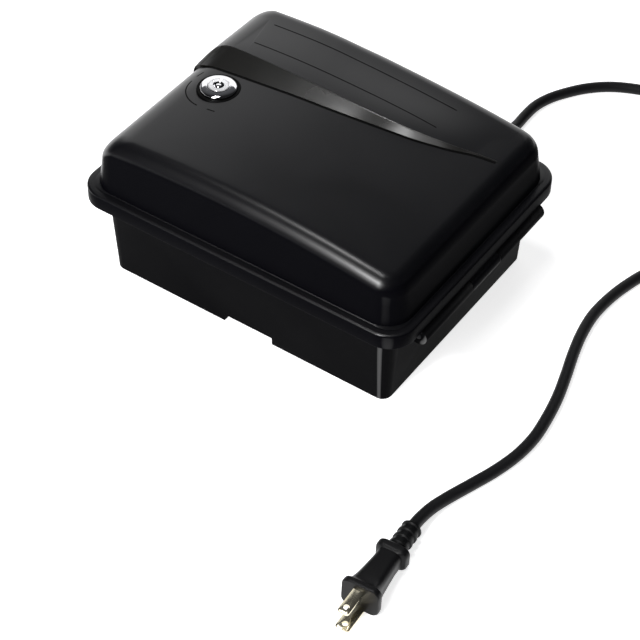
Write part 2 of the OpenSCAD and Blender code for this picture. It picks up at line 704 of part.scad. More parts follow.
module window_frame() {
    translate([window_x - window_w / 2 - frame_w, window_y - window_h / 2 - frame_w, panel_z])
        linear_extrude(panel_t + frame_rise)
            rounded_square(window_w + 2 * frame_w, window_h + 2 * frame_w, frame_w);
}
module inner_panel() {
    color([0.35, 0.36, 0.37])
    difference() {
        union() {
            translate([panel_x0, panel_y0, panel_z]) linear_extrude(panel_t)
                rounded_square(panel_x1 - panel_x0, panel_y1 - panel_y0, panel_corner);
            box([panel_x0 + skirt_inset, panel_x1 - skirt_inset], [panel_y0, panel_y0 + skirt_t],
                [panel_z - skirt_h, panel_z + fit]);
            window_frame();
            for (p = board_spots) post(p[0], p[1], board_z + board_t, panel_z + fit, standoff_r);
        }
        for (i = [0:3]) post(panel_post(i)[0], panel_post(i)[1], panel_z - overrun,
            panel_top + overrun, pilot_r + fit);
        for (p = board_spots) post(p[0], p[1], board_z, panel_z, pilot_r);
        box([window_x - window_w / 2, window_x + window_w / 2],
            [window_y - window_h / 2, window_y + window_h / 2], [panel_z - overrun, panel_top + overrun]);
        box([window_x - window_w / 2 - lens_seat, window_x + window_w / 2 + lens_seat],
            [window_y - window_h / 2 - lens_seat, window_y + window_h / 2 + lens_seat],
            [panel_top - lens_t, panel_top + frame_rise + overrun]);
        for (x = button_xs) translate([x, button_y, panel_z - overrun]) linear_extrude(panel_t + 2 * overrun)
            translate([-button_w / 2 - button_gap, -button_h / 2 - button_gap])
                rounded_square(button_w + 2 * button_gap, button_h + 2 * button_gap,
                    button_corner + button_gap);
        post(breaker_x, breaker_y, panel_z - overrun, panel_top + overrun, neck_r + fit);
    }
}
module panel_screws() {
    color([0.7, 0.7, 0.72])
    for (i = [0:3]) pan_screw(panel_post(i)[0], panel_post(i)[1], panel_top, screw_r,
        screw_len, screw_head_r, screw_head_t);
}
module display_window() {
    color([0.75, 0.8, 0.82, 0.4])
    box([window_x - window_w / 2 - lens_seat + screw_fit, window_x + window_w / 2 + lens_seat - screw_fit],
        [window_y - window_h / 2 - lens_seat + screw_fit, window_y + window_h / 2 + lens_seat - screw_fit],
        [panel_top - lens_t, panel_top]);
}
module_margin = 2;
module_top_gap = 0.5;
module display_module() {
    color([0.55, 0.62, 0.5])
    box([window_x - window_w / 2 + module_margin, window_x + window_w / 2 - module_margin],
        [window_y - window_h / 2 + module_margin, window_y + window_h / 2 - module_margin],
        [board_z + board_t, panel_top - lens_t - module_top_gap]);
}
module circuit_board() {
    color([0.1, 0.35, 0.2])
    difference() {
        box(board_x, board_y, [board_z, board_z + board_t]);
        for (p = board_spots) post(p[0], p[1], board_z - overrun, board_z + board_t + overrun, pilot_r);
    }
}
module board_screws() {
    color([0.7, 0.7, 0.72])
    translate([0, 0, 2 * board_z]) mirror([0, 0, 1])
        for (p = board_spots)
            pan_screw(p[0], p[1], board_z, screw_r, screw_len, screw_head_r, screw_head_t);
}

// Buttons and the switches under them
switch_w = 6;
switch_h = 3.4;
switch_tip_r = 1.7;
switch_tip = 0.7;
button_corner = 1.5;
button_proud = 2;
brim = 1.5;
brim_t = 1.5;
stem_r = 2.2;
brim_top = panel_z - button_gap;
stem_low = board_z + board_t + switch_h + switch_tip + button_travel + fit;
module tact_switches() {
    color([0.2, 0.2, 0.2])
    for (x = button_xs) {
        box([x - switch_w / 2, x + switch_w / 2], [button_y - switch_w / 2, button_y + switch_w / 2],
            [board_z + board_t, board_z + board_t + switch_h]);
        post(x, button_y, board_z + board_t + switch_h, board_z + board_t + switch_h + switch_tip,
            switch_tip_r);
    }
}
module push_button(i) {
    color([0.62, 0.63, 0.64])
    translate([button_xs[i], button_y, 0]) {
        translate([-button_w / 2, -button_h / 2, brim_top])
            linear_extrude(panel_top + button_proud - brim_top)
                rounded_square(button_w, button_h, button_corner);
        translate([-button_w / 2 - brim, -button_h / 2 - brim, brim_top - brim_t]) linear_extrude(brim_t)
            rounded_square(button_w + 2 * brim, button_h + 2 * brim, button_corner);
        post(0, 0, stem_low, brim_top - brim_t, stem_r);
    }
}
module button_menu() { push_button(0); }
module button_minus() { push_button(1); }
module button_plus() { push_button(2); }
module button_enter() { push_button(3); }

// Resettable breaker: its button pops up when it trips
breaker_w = 15;
breaker_l = 13;
breaker_h = 26;
neck_rise = 5;
popper_r = 2.9;
popper_len = 14;
popper_proud = 2;
breaker_nut_af = 14;
breaker_nut_t = 2.2;
module breaker_body() {
    color([0.1, 0.1, 0.1])
    difference() {
        union() {
            box([breaker_x - breaker_w / 2, breaker_x + breaker_w / 2],
                [breaker_y - breaker_l / 2, breaker_y + breaker_l / 2], [panel_z - breaker_h, panel_z]);
            post(breaker_x, breaker_y, panel_z - fit, panel_top + neck_rise, neck_r);
        }
        post(breaker_x, breaker_y, panel_top + neck_rise + popper_proud - popper_len - fit,
            panel_top + neck_rise + overrun, popper_r + pin_fit);
    }
}
module breaker_nut() {
    color([0.72, 0.72, 0.74])
    difference() {
        post(breaker_x, breaker_y, panel_top, panel_top + breaker_nut_t,
            breaker_nut_af / 2 / cos(hex_half), hexagon);
        post(breaker_x, breaker_y, panel_top - overrun, panel_top + breaker_nut_t + overrun,
            neck_r + screw_fit);
    }
}
module breaker_button() {
    color([0.85, 0.85, 0.83])
    post(breaker_x, breaker_y, panel_top + neck_rise + popper_proud - popper_len,
        panel_top + neck_rise + popper_proud, popper_r);
}

// Transformer
window_gap = 0.6;
bobbin_t = 1.6;
module transformer_core() {
    color([0.3, 0.3, 0.32])
    translate([core_x, core_y, core_z]) difference() {
        translate([-core_w / 2, -core_l / 2, 0]) cube([core_w, core_l, core_stack]);
        for (s = [-1, 1]) translate([s * (core_w / 2 - outer_limb + limb_w / 2) / 2, 0, core_stack / 2])
            cube([core_w / 2 - outer_limb - limb_w / 2, core_l - 2 * yoke, core_stack + 2 * overrun],
                center = true);
        for (p = bolt_spots) translate([p[0] - core_x, p[1] - core_y, -overrun])
            cylinder(h = core_stack + 2 * overrun, r = bolt_hole_r, $fn = small);
    }
}
bobbin_l = core_l - 2 * yoke - 2 * window_gap;
bobbin_in = window_gap / 2;
module winding_sleeve(t0, t1, length) {
    translate([core_x, core_y - length / 2, core_z + core_stack / 2]) rotate([-quarter, 0, 0])
        linear_extrude(length) difference() {
            square([limb_w + 2 * t1, core_stack + 2 * t1], center = true);
            square([limb_w + 2 * t0, core_stack + 2 * t0], center = true);
        }
}
module transformer_bobbin() {
    color([0.8, 0.78, 0.7])
    union() {
        winding_sleeve(bobbin_in, bobbin_in + bobbin_t, bobbin_l);
        for (s = [-1, 1]) translate([0, s * (bobbin_l - bobbin_t) / 2, 0])
            winding_sleeve(bobbin_in, winding_t + bobbin_t, bobbin_t);
    }
}
module transformer_winding() {
    color([0.75, 0.6, 0.2])
    winding_sleeve(bobbin_in + bobbin_t + screw_fit, winding_t, bobbin_l - 2 * bobbin_t - 2 * screw_fit);
}
module transformer_bolts() {
    color([0.7, 0.7, 0.72])
    for (p = bolt_spots) pan_screw(p[0], p[1], core_z + core_stack, bolt_r,
        core_stack + core_z - case_floor - fit, bolt_head_r, bolt_head_t);
}

// Terminal block
poles = 4;
pole_pitch = 13;
barrier_t = 1.6;
terminal_base = 8;
barrier_h = 17;
tab_t = 1;
terminal_screw_r = 1.9;
terminal_head_r = 3.8;
terminal_head_t = 2.6;
terminal_shank = 6;
pole_xs = [for (i = [0:poles - 1]) terminal_x + (i - (poles - 1) / 2) * pole_pitch];
module terminal_block() {
    color([0.09, 0.09, 0.09])
    difference() {
        union() {
            box([terminal_x - terminal_l / 2, terminal_x + terminal_l / 2],
                [terminal_y - terminal_w / 2, terminal_y + terminal_w / 2],
                [terminal_z, terminal_z + terminal_base]);
            for (i = [0:poles])
                translate([terminal_x + (i - poles / 2) * pole_pitch - barrier_t / 2,
                    terminal_y - terminal_w / 2, terminal_z]) cube([barrier_t, terminal_w, barrier_h]);
        }
        for (s = [-1, 1]) post(terminal_x + s * terminal_screw_x, terminal_y, terminal_z - overrun,
            terminal_z + terminal_base + overrun, pilot_r);
        for (x = pole_xs) post(x, terminal_y, terminal_z + terminal_base - terminal_shank,
            terminal_z + terminal_base + overrun, terminal_screw_r + screw_fit);
    }
}
module terminal_plates() {
    color([0.8, 0.68, 0.35])
    for (x = pole_xs) difference() {
        box([x - pole_pitch / 2 + barrier_t, x + pole_pitch / 2 - barrier_t],
            [terminal_y - terminal_w / 2, terminal_y + terminal_w / 2],
            [terminal_z + terminal_base, terminal_z + terminal_base + tab_t]);
        post(x, terminal_y, terminal_z + terminal_base - overrun, terminal_z + terminal_base + tab_t + overrun,
            terminal_screw_r + screw_fit);
    }
}
module terminal_screws() {
    color([0.75, 0.75, 0.72])
    for (x = pole_xs) pan_screw(x, terminal_y, terminal_z + terminal_base + tab_t, terminal_screw_r,
        terminal_shank, terminal_head_r, terminal_head_t);
}
module terminal_mounting_screws() {
    color([0.7, 0.7, 0.72])
    for (s = [-1, 1]) pan_screw(terminal_x + s * terminal_screw_x, terminal_y, terminal_z + terminal_base,
        screw_r, terminal_base + screw_len - fit, screw_head_r, screw_head_t);
}

// Swept tube: rings square to a path, with a vertex count n
function unit(v) = v / norm(v);
function way(path, i) = unit(path[min(i + 1, len(path) - 1)] - path[max(i - 1, 0)]);
function tube_rings(path, r, n) = [for (i = [0:len(path) - 1])
    let (t = way(path, i), side = unit(cross(t, [0, 0, 1])), lift = cross(side, t))
    [for (k = [0:n - 1]) let (a = full_turn * (k + 0.5) / n) path[i] + r * (cos(a) * lift + sin(a) * side)]];

// Leads inside the case
lead_r = 1.2;
lead_sides = 8;
coil_end_y = core_y - bobbin_l / 2;
supply_spread = 4;
supply_xs = [core_x - supply_spread, core_x + supply_spread];
relief_stub = 2;
relief_end_y = exit_wall_in + relief_stub;
module lead(path) { loft(tube_rings(path, lead_r, lead_sides)); }
lead_low_share = 1.75;    // of the lead's radius, above the winding's lowest face
low_z = core_z - winding_t + lead_low_share * lead_r;
mid_rise = 7;
mid_y = panel_y0 + mid_rise;
module supply_leads() {
    color([0.1, 0.1, 0.1])
    for (i = [0, 1]) let (s = 2 * i - 1)
        lead([[cord_exit_x + s * 2 * lead_r, relief_end_y, exit_z],
            [cord_exit_x + s * 2 * lead_r, relief_end_y + 4 * lead_r, exit_z],
            [cord_exit_x + s * 2 * lead_r, relief_end_y + 12 * lead_r, low_z],
            [supply_xs[i], mid_y, low_z],
            [supply_xs[i], coil_end_y - yoke, low_z],
            [supply_xs[i], coil_end_y - fit, low_z]]);
}
output_reach = 12;
output_spread = 5;
output_xs = [core_x + output_reach, core_x + output_reach + output_spread];
lead_end_z = terminal_z + terminal_base + tab_t + lead_r + fit;
module output_leads() {
    color([0.6, 0.1, 0.1])
    for (i = [0, 1])
        lead([[output_xs[i], coil_end_y - fit, low_z],
            [output_xs[i], coil_end_y - yoke, low_z],
            [output_xs[i] + 3 * lead_r, mid_y, exit_z - 3 * i * lead_r],
            [pole_xs[i], terminal_y + terminal_w, terminal_z + terminal_base / 2],
            [pole_xs[i], terminal_y + terminal_w / 2 + 4 * lead_r, lead_end_z],
            [pole_xs[i], terminal_y + terminal_w / 2 - 2 * lead_r, lead_end_z]]);
}

// Rubber grommets for the low voltage cables
grommet_flange_r = 9;
grommet_flange_t = 2.4;
grommet_bore_r = 3.5;
module cable_grommets() {
    color([0.06, 0.06, 0.06])
    for (x = grommet_xs) translate([x, exit_pad_y, exit_z]) rotate([-quarter, 0, 0]) rotate_extrude($fn = fine)
        polygon([[grommet_bore_r, -grommet_flange_t], [grommet_flange_r - brim, -grommet_flange_t],
            [grommet_flange_r, 0], [grommet_hole_r, 0], [grommet_hole_r, exit_wall_in - exit_pad_y],
            [grommet_flange_r - brim, exit_wall_in - exit_pad_y],
            [grommet_flange_r - brim, exit_wall_in - exit_pad_y + grommet_flange_t],
            [grommet_bore_r, exit_wall_in - exit_pad_y + grommet_flange_t]]);
}

// Strain relief of the mains lead: flange, then a ribbed taper, then the lead's face
relief_flange_r = 10.5;
relief_flange_t = 3;
relief_len = 28;
relief_root_r = 7.2;
relief_tip_r = 4.6;
relief_ribs = 6;
rib_rise = 0.8;
module cord_relief() {
    color([0.06, 0.06, 0.06])
    translate([cord_exit_x, exit_pad_y, exit_z]) rotate([-quarter, 0, 0]) rotate_extrude($fn = small)
        polygon(concat(
            [[0, relief_end_y - exit_pad_y], [cord_hole_r, relief_end_y - exit_pad_y], [cord_hole_r, 0],
                [relief_flange_r, 0], [relief_flange_r, -relief_flange_t / 2],
                [relief_flange_r - overrun, -relief_flange_t]],
            [for (i = [0:relief_ribs - 1], k = [0:3])
                let (s = (i + 0.25 * k) / relief_ribs, out = (k == 1 || k == 2) ? rib_rise : 0)
                [relief_root_r + (relief_tip_r - relief_root_r) * s + out, -relief_flange_t - relief_len * s]],
            [[relief_tip_r, -relief_flange_t - relief_len], [0, -relief_flange_t - relief_len]]));
}

// Mains lead: route points chosen by hand, in millimetres
tail_points = [[-33, -108.5, 22], [-33, -116, 22], [-33, -127, 20], [-33, -138, 15.5], [-32.5, -149, 10],
    [-32, -161, 5.6], [-31.5, -173, 3.6], [-31, -184, 3.5], [-31.5, -196, 3.5], [-35, -208, 3.5],
    [-41, -219, 3.5], [-49, -230, 3.5], [-60, -240, 3.5], [-73, -247, 3.5], [-88, -252, 3.5],
    [-105, -255, 3.5], [-123, -256, 3.5], [-141, -256, 3.5], [-158, -256, 3.5]];
lead_points = [[-211, -203, 11], [-211, -194, 11], [-210, -182, 9.1], [-206, -169, 5.6], [-199, -156, 3.8],
    [-190, -143, 3.5], [-180, -130, 3.5], [-171, -116, 3.5], [-163, -101, 3.5], [-158, -85, 3.5],
    [-155, -69, 3.5], [-154, -52, 3.5], [-156, -35, 3.5], [-160, -18, 3.5], [-165, -1, 3.5],
    [-169.5, 16, 3.5], [-172.5, 33, 3.5], [-174, 49, 3.5], [-172.8, 65, 3.5], [-169, 81, 3.5],
    [-163.8, 96, 3.5], [-159, 110, 3.9], [-156, 122.5, 5.1], [-155, 134, 6.05], [-155.5, 141, 6.4]];
cord_sides = 8;
coil_sides = 6;
coil_x = -165;
coil_y = -210;
coil_r = 46;
coil_pitch = 7.6;
coil_layer = 7.5;
coil_turns = 5.25;
coil_steps = 24;
climb_turns = 0.5;
// Eases from 0 to 1 while s goes from 0 to 1
function ease(s) = let (c = max(0, min(1, s))) c * c * (3 - 2 * c);
function coil_point(t) =
    let (half = coil_turns / 2, r = coil_r - coil_pitch * (half - abs(t - half)), a = -quarter - full_turn * t)
    [coil_x + r * cos(a), coil_y + r * sin(a),
        cord_d / 2 + coil_layer * ease((t - half + climb_turns / 2) / climb_turns)];
coil_path = concat(
    [[coil_x + cord_d, coil_y - coil_r, cord_d / 2]],
    [for (i = [0:coil_steps * coil_turns]) coil_point(i / coil_steps)],
    [[coil_x - coil_r, coil_y + cord_d, cord_d / 2 + coil_layer]]);
// Least gap between turns, measured between path points more than half a turn apart
coil_gap = min([for (i = [0:len(coil_path) - 1], j = [i + coil_steps / 2:len(coil_path) - 1])
    norm(coil_path[i] - coil_path[j])]) - cord_d;
echo(coil_gap = coil_gap);
module cord_tail() {
    color([0.07, 0.07, 0.07]) loft(tube_rings(tail_points, cord_d / 2, cord_sides));
}
module cord_coil() {
    color([0.07, 0.07, 0.07]) loft(tube_rings(coil_path, cord_d / 2, coil_sides));
}
module cord_lead() {
    color([0.07, 0.07, 0.07]) loft(tube_rings(lead_points, cord_d / 2, cord_sides));
}

// Plug, in line with the lead's last stretch, on one narrow side with its blades one above the other
plug_at = lead_points[len(lead_points) - 1];
plug_way = unit(plug_at - lead_points[len(lead_points) - 2]);
plug_heading = atan2(-plug_way[0], plug_way[1]);
plug_pitch = asin(plug_way[2]);
module plugged() { translate(plug_at) rotate([plug_pitch, 0, plug_heading]) children(); }
sleeve_r = 5.6;
sleeve_ribs = 4;
collar_t = 4;
collar_w = 18;
collar_h = 14;
neck_w = 13;
neck_h = 12;
mid_w = 14.5;
mid_h = 12.8;
waist_w = 17;
waist_h = 14.5;
plug_corner = 4;
blade_hole_r = 1.6;
blade_hole_inset = 4;
face_y = sleeve_len + plug_len;
// Ring of a rounded rectangle in XZ at depth y
plug_steps = 4;
function slab_ring(w, h, r, y) = [for (q = [0:3], i = [0:plug_steps])
    let (t = quarter * (q + i / plug_steps), sx = (q == 0 || q == 3) ? 1 : -1, sz = q < 2 ? 1 : -1)
    [-sx * (w / 2 - r) - r * cos(t), y, sz * (h / 2 - r) + r * sin(t)]];
// Stations of the body: share of its length, width, height
body_stations = [[0, collar_w, collar_h], [0.11, collar_w, collar_h], [0.16, neck_w, neck_h],
    [0.5, mid_w, mid_h], [0.86, waist_w, waist_h], [0.9, face_w, face_h], [1, face_w, face_h]];
module plug_body() {
    color([0.07, 0.07, 0.07])
    plugged() difference() {
        union() {
            loft([for (s = body_stations)
                slab_ring(s[1], s[2], plug_corner, sleeve_len + plug_len * s[0])]);
            rotate([-quarter, 0, 0]) rotate_extrude($fn = small)
                polygon(concat([[0, 0]],
                    [for (i = [0:sleeve_ribs - 1], k = [0:3])
                        let (s = (i + 0.25 * k) / sleeve_ribs, out = (k == 1 || k == 2) ? 0 : rib_rise)
                        [sleeve_r - out, sleeve_len * s]],
                    [[sleeve_r, sleeve_len + collar_t / 2], [0, sleeve_len + collar_t / 2]]));
        }
        blade_slot(blade_wide, -1);
        blade_slot(blade_narrow, 1);
    }
}
blade_root = 6;
module blade_slot(w, side) {
    box([-w / 2 - screw_fit, w / 2 + screw_fit], [face_y - blade_root, face_y + overrun],
        [side * blade_pitch / 2 - blade_t / 2 - screw_fit, side * blade_pitch / 2 + blade_t / 2 + screw_fit]);
}
module blade(w, side) {
    plugged() difference() {
        box([-w / 2, w / 2], [face_y - blade_root, face_y + blade_len],
            [side * blade_pitch / 2 - blade_t / 2, side * blade_pitch / 2 + blade_t / 2]);
        post(0, face_y + blade_len - blade_hole_inset, -blade_pitch, blade_pitch, blade_hole_r);
    }
}
module blade_upper() { color([0.8, 0.75, 0.6]) blade(blade_narrow, 1); }
module blade_lower() { color([0.8, 0.75, 0.6]) blade(blade_wide, -1); }

rear_case();
front_cover();
cover_gasket();
hinge_pin();
lock_bezel();
lock_housing();
lock_nut();
lock_plug();
lock_cam();
cam_screw();
strike_bracket();
strike_screws();
inner_panel();
panel_screws();
display_window();
display_module();
circuit_board();
board_screws();
tact_switches();
button_menu();
button_minus();
button_plus();
button_enter();
breaker_body();
breaker_nut();
breaker_button();
transformer_core();
transformer_bobbin();
transformer_winding();
transformer_bolts();
terminal_block();
terminal_plates();
terminal_screws();
terminal_mounting_screws();
supply_leads();
output_leads();
cable_grommets();
cord_relief();
cord_tail();
cord_coil();
cord_lead();
plug_body();
blade_upper();
blade_lower();
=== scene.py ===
# Dresses an outdoor landscape lighting controller: a black plastic wall box lying on its back,
# with a crowned cover, a cam lock, a mains lead and its plug.
import math
import bmesh
import bpy
import numpy as np
from mathutils import Matrix, Vector


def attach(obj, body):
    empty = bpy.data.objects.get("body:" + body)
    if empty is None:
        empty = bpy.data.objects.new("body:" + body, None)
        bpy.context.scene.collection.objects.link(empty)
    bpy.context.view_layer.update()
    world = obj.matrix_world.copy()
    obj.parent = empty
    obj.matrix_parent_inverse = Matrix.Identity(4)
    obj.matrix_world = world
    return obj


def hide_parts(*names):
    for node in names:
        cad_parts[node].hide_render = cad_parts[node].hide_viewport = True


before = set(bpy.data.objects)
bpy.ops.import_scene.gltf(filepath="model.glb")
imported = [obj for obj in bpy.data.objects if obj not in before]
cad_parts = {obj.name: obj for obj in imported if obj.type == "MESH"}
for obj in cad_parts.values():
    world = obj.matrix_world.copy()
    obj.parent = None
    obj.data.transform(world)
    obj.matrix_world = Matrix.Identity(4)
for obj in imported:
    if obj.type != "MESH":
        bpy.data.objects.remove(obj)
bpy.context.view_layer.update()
mm = 0.001
print("frame loaded:", len(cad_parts), "nodes")

# Camera: a long lens that looks down at the hinge corner
cameraView = {
    "azimuth": 214.1637,
    "elevation": 44.9844,
    "roll": 0.8625,
    "distance": 1171.73,
    "panRight": 0.41,
    "panUp": -33.70,
    "lens": 112.5,
    "sensor": 36.0,
    "clipEnd": 20.0,
}


def addCamera(view):
    # The camera stands "distance" along the line of sight, then is panned in its own picture plane
    azimuth, elevation, roll = (math.radians(view[k]) for k in ("azimuth", "elevation", "roll"))
    back = Vector((math.sin(azimuth) * math.cos(elevation), -math.cos(azimuth) * math.cos(elevation),
                   math.sin(elevation)))
    level = Vector((math.cos(azimuth), math.sin(azimuth), 0))
    upright = back.cross(level)
    right = math.cos(roll) * level + math.sin(roll) * upright
    up = math.cos(roll) * upright - math.sin(roll) * level
    place = (back * view["distance"] + right * view["panRight"] + up * view["panUp"]) * mm
    camera = bpy.data.objects.new("camera", bpy.data.cameras.new("camera"))
    camera.data.lens = view["lens"]
    camera.data.sensor_width = view["sensor"]
    camera.data.clip_end = view["clipEnd"]
    camera.matrix_world = Matrix.Translation(place) @ Matrix((right, up, back)).transposed().to_4x4()
    bpy.context.scene.collection.objects.link(camera)
    bpy.context.scene.camera = camera


addCamera(cameraView)


# Tools for arrays: coordinates joined from parts, even turns, unit vectors and a soft rise
def stacked(*parts):
    # The parts are spread over each other's shape and joined along a new last axis
    return np.stack(np.broadcast_arrays(*parts), axis=-1)


def fullTurn(count):
    # Even angles round a whole circle
    return np.linspace(0, 2 * math.pi, count, endpoint=False)


def arcSteps(count):
    # Even angles from 0 to 90 degrees, with both ends
    return np.radians(np.linspace(0, 90, count))


def unit(vectors):
    # Each vector over its own length
    return vectors / np.linalg.norm(vectors, axis=-1, keepdims=True)


def softRise(share):
    # A cubic from 0 to 1 that starts and ends level
    return share * share * (3 - 2 * share)


# Mesh helpers: every new piece is a grid of points, rows along one way and columns round the other
mergeWithin = 0.002


def meshFrom(name, points, faces, smoothAngle=35):
    # Points in millimetres become a mesh in metres, smooth except over edges sharper than the angle
    mesh = bpy.data.meshes.new(name)
    mesh.from_pydata(np.asarray(points, float).reshape(-1, 3) * mm, [], faces)
    mesh.polygons.foreach_set("use_smooth", np.ones(len(mesh.polygons), bool))
    mesh.set_sharp_from_angle(angle=math.radians(smoothAngle))
    mesh.update()
    piece = bpy.data.objects.new(name, mesh)
    bpy.context.scene.collection.objects.link(piece)
    return piece


def gridQuads(rows, columns, joined):
    # Quads of a grid of points, whose last column meets its first where joined is set
    index = np.arange(rows * columns).reshape(rows, columns)
    if joined:
        index = np.hstack([index, index[:, :1]])
    return np.stack([index[:-1, :-1], index[:-1, 1:], index[1:, 1:], index[1:, :-1]], axis=-1).reshape(-1, 4)


def ringsMesh(name, rings, smoothAngle=35):
    # A skin over rings of equal count, wound so that it faces out, with a fan of triangles over each end
    rings = np.asarray(rings, float)
    rows, columns = rings.shape[:2]
    column = np.arange(columns)
    following, top, poles = np.roll(column, -1), (rows - 1) * columns, rows * columns
    faces = gridQuads(rows, columns, True).tolist() + stacked(poles, following, column).tolist()
    faces += stacked(poles + 1, top + column, top + following).tolist()
    points = np.vstack([rings.reshape(-1, 3), rings[0].mean(axis=0), rings[-1].mean(axis=0)])
    return meshFrom(name, points, faces, smoothAngle)


def fixNormals(piece):
    # Doubles are merged, then the faces of the closed skin are turned outwards
    work = bmesh.new()
    work.from_mesh(piece.data)
    bmesh.ops.remove_doubles(work, verts=work.verts, dist=mergeWithin * mm)
    bmesh.ops.recalc_face_normals(work, faces=work.faces)
    work.to_mesh(piece.data)
    work.free()
    return piece


def solidRings(name, rings, smoothAngle=35):
    # A closed skin over rings that faces out whichever way they run
    return fixNormals(ringsMesh(name, rings, smoothAngle))


def revolve(name, profile, centre, axis="z", segments=96, smoothAngle=35):
    # Each (radius, height) of the profile becomes a circle at that height along the axis
    radius, height = np.asarray(profile, float).T[..., None]
    across, over = radius * np.cos(fullTurn(segments)), radius * np.sin(fullTurn(segments))
    rings = stacked(across, over, height) if axis == "z" else stacked(across, height, -over)
    return solidRings(name, rings + np.asarray(centre, float), smoothAngle)


def smoothLine(points, step, perSpan=24):
    # Catmull-Rom curve through given points, then points at even steps along it
    points = np.asarray(points, float)
    padded = np.vstack([2 * points[0] - points[1], points, 2 * points[-1] - points[-2]])
    t = np.linspace(0, 1, perSpan, endpoint=False)[:, None, None]
    a, b, c, d = padded[:-3], padded[1:-2], padded[2:-1], padded[3:]
    curve = 0.5 * (2 * b + (c - a) * t + (2 * a - 5 * b + 4 * c - d) * t ** 2 + (3 * b - a - 3 * c + d) * t ** 3)
    curve = np.vstack([curve.transpose(1, 0, 2).reshape(-1, 3), points[-1]])
    return evenSteps(curve, step)


def evenSteps(curve, step):
    # Points at equal lengths along a line through many points
    along = np.r_[0, np.cumsum(np.linalg.norm(np.diff(curve, axis=0), axis=1))]
    marks = np.linspace(0, along[-1], max(2, int(round(along[-1] / step)) + 1))
    return np.stack([np.interp(marks, along, curve[:, k]) for k in range(3)], axis=-1)


def tubeRings(path, radius, sides):
    # Circles square to the path, which lies too flat for any of them to twist
    way = unit(np.gradient(path, axis=0))
    side = unit(np.cross(way, [0, 0, 1]))
    turn = fullTurn(sides)[None, :, None]
    return path[:, None] + radius * (np.cos(turn) * np.cross(side, way)[:, None] + np.sin(turn) * side[:, None])


# Materials: short forms for shader nodes, and node groups shared by many finishes
groupFacts = {"speckScale": 900.0, "speckSpan": (0.7, 0.78), "sheenScale": 14.0, "stainScale": 90.0}
changeSpan = (0.3, 0.7)


def addNode(tree, kind, inputs=(), **settings):
    # An input is either another node's output, which is linked, or a plain value
    node = tree.nodes.new("ShaderNode" + kind)
    for key, value in settings.items():
        setattr(node, key, value)
    for key, value in dict(inputs).items():
        if isinstance(value, bpy.types.NodeSocket):
            tree.links.new(value, node.inputs[key])
        else:
            node.inputs[key].default_value = value
    return node


def mathNode(tree, operation, *values):
    return addNode(tree, "Math", dict(enumerate(values)), operation=operation).outputs["Value"]


def dotNode(tree, vector, way):
    return addNode(tree, "VectorMath", {0: vector, 1: way}, operation="DOT_PRODUCT").outputs["Value"]


def noiseNode(tree, vector, scale, more):
    return addNode(tree, "TexNoise", {"Vector": vector, "Scale": scale} | more).outputs["Fac"]


def rangeNode(tree, value, given=(0.0, 1.0), wanted=(0.0, 1.0), **settings):
    # Carries a value from the given range over to the wanted one
    return addNode(tree, "MapRange", {"Value": value, "From Min": given[0], "From Max": given[1],
                                      "To Min": wanted[0], "To Max": wanted[1]}, **settings).outputs["Result"]


def emptyTree(owner):
    # The cleared node tree of a material or a world
    owner.use_nodes = True
    owner.node_tree.nodes.clear()
    return owner.node_tree


def newGroup(name, inputs):
    # Each input comes with its plain value, which also tells numbers from vectors
    tree = bpy.data.node_groups.new(name, "ShaderNodeTree")
    for label, value in inputs.items():
        kind = "NodeSocketFloat" if isinstance(value, float) else "NodeSocketVector"
        tree.interface.new_socket(label, in_out="INPUT", socket_type=kind).default_value = value
    return tree, tree.nodes.new("NodeGroupInput").outputs


def closeGroup(tree, results):
    # Each result becomes an output of the group
    for label in results:
        tree.interface.new_socket(label, in_out="OUTPUT", socket_type="NodeSocketFloat")
    end = tree.nodes.new("NodeGroupOutput")
    for label, value in results.items():
        tree.links.new(value, end.inputs[label])
    return tree


def mouldedGrainGroup():
    # Spark-eroded mould grain: fine cells over a soft swell, and the slow sheen changes of a large moulding
    tree, given = newGroup("mouldedGrain", {"Vector": (0.0, 0.0, 0.0), "Grain Scale": 1400.0, "Swell Scale": 60.0,
                                            "Grain Share": 0.7})
    vector = given["Vector"]
    cells = addNode(tree, "TexVoronoi", {"Vector": vector, "Scale": given["Grain Scale"]}, feature="SMOOTH_F1")
    fine = noiseNode(tree, vector, given["Grain Scale"], {"Detail": 3.0, "Roughness": 0.6})
    swell = noiseNode(tree, vector, given["Swell Scale"], {"Detail": 2.0})
    height = addNode(tree, "Mix", {"Factor": given["Grain Share"], "A": swell,
                                   "B": mathNode(tree, "ADD", cells.outputs["Distance"], fine)})
    specks = noiseNode(tree, vector, groupFacts["speckScale"], {"Detail": 2.0})
    sheen = noiseNode(tree, vector, groupFacts["sheenScale"], {"Detail": 4.0, "Distortion": 0.6})
    return closeGroup(tree, {"Height": height.outputs["Result"], "Sheen": sheen,
                             "Speck": rangeNode(tree, specks, groupFacts["speckSpan"])})


def brushedLinesGroup():
    # Fine parallel scratches, which are noise stretched along one way, and slow stains
    tree, given = newGroup("brushedLines", {"Vector": (0.0, 0.0, 0.0), "Scale": 300.0, "Stretch": (1.0, 0.04, 1.0)})
    drawn = addNode(tree, "VectorMath", {0: given["Vector"], 1: given["Stretch"]}, operation="MULTIPLY")
    return closeGroup(tree, {
        "Lines": noiseNode(tree, drawn.outputs["Vector"], given["Scale"], {"Detail": 6.0, "Roughness": 0.7}),
        "Stain": noiseNode(tree, given["Vector"], groupFacts["stainScale"], {"Detail": 5.0, "Distortion": 1.0})})


grainGroup = mouldedGrainGroup()
linesGroup = brushedLinesGroup()
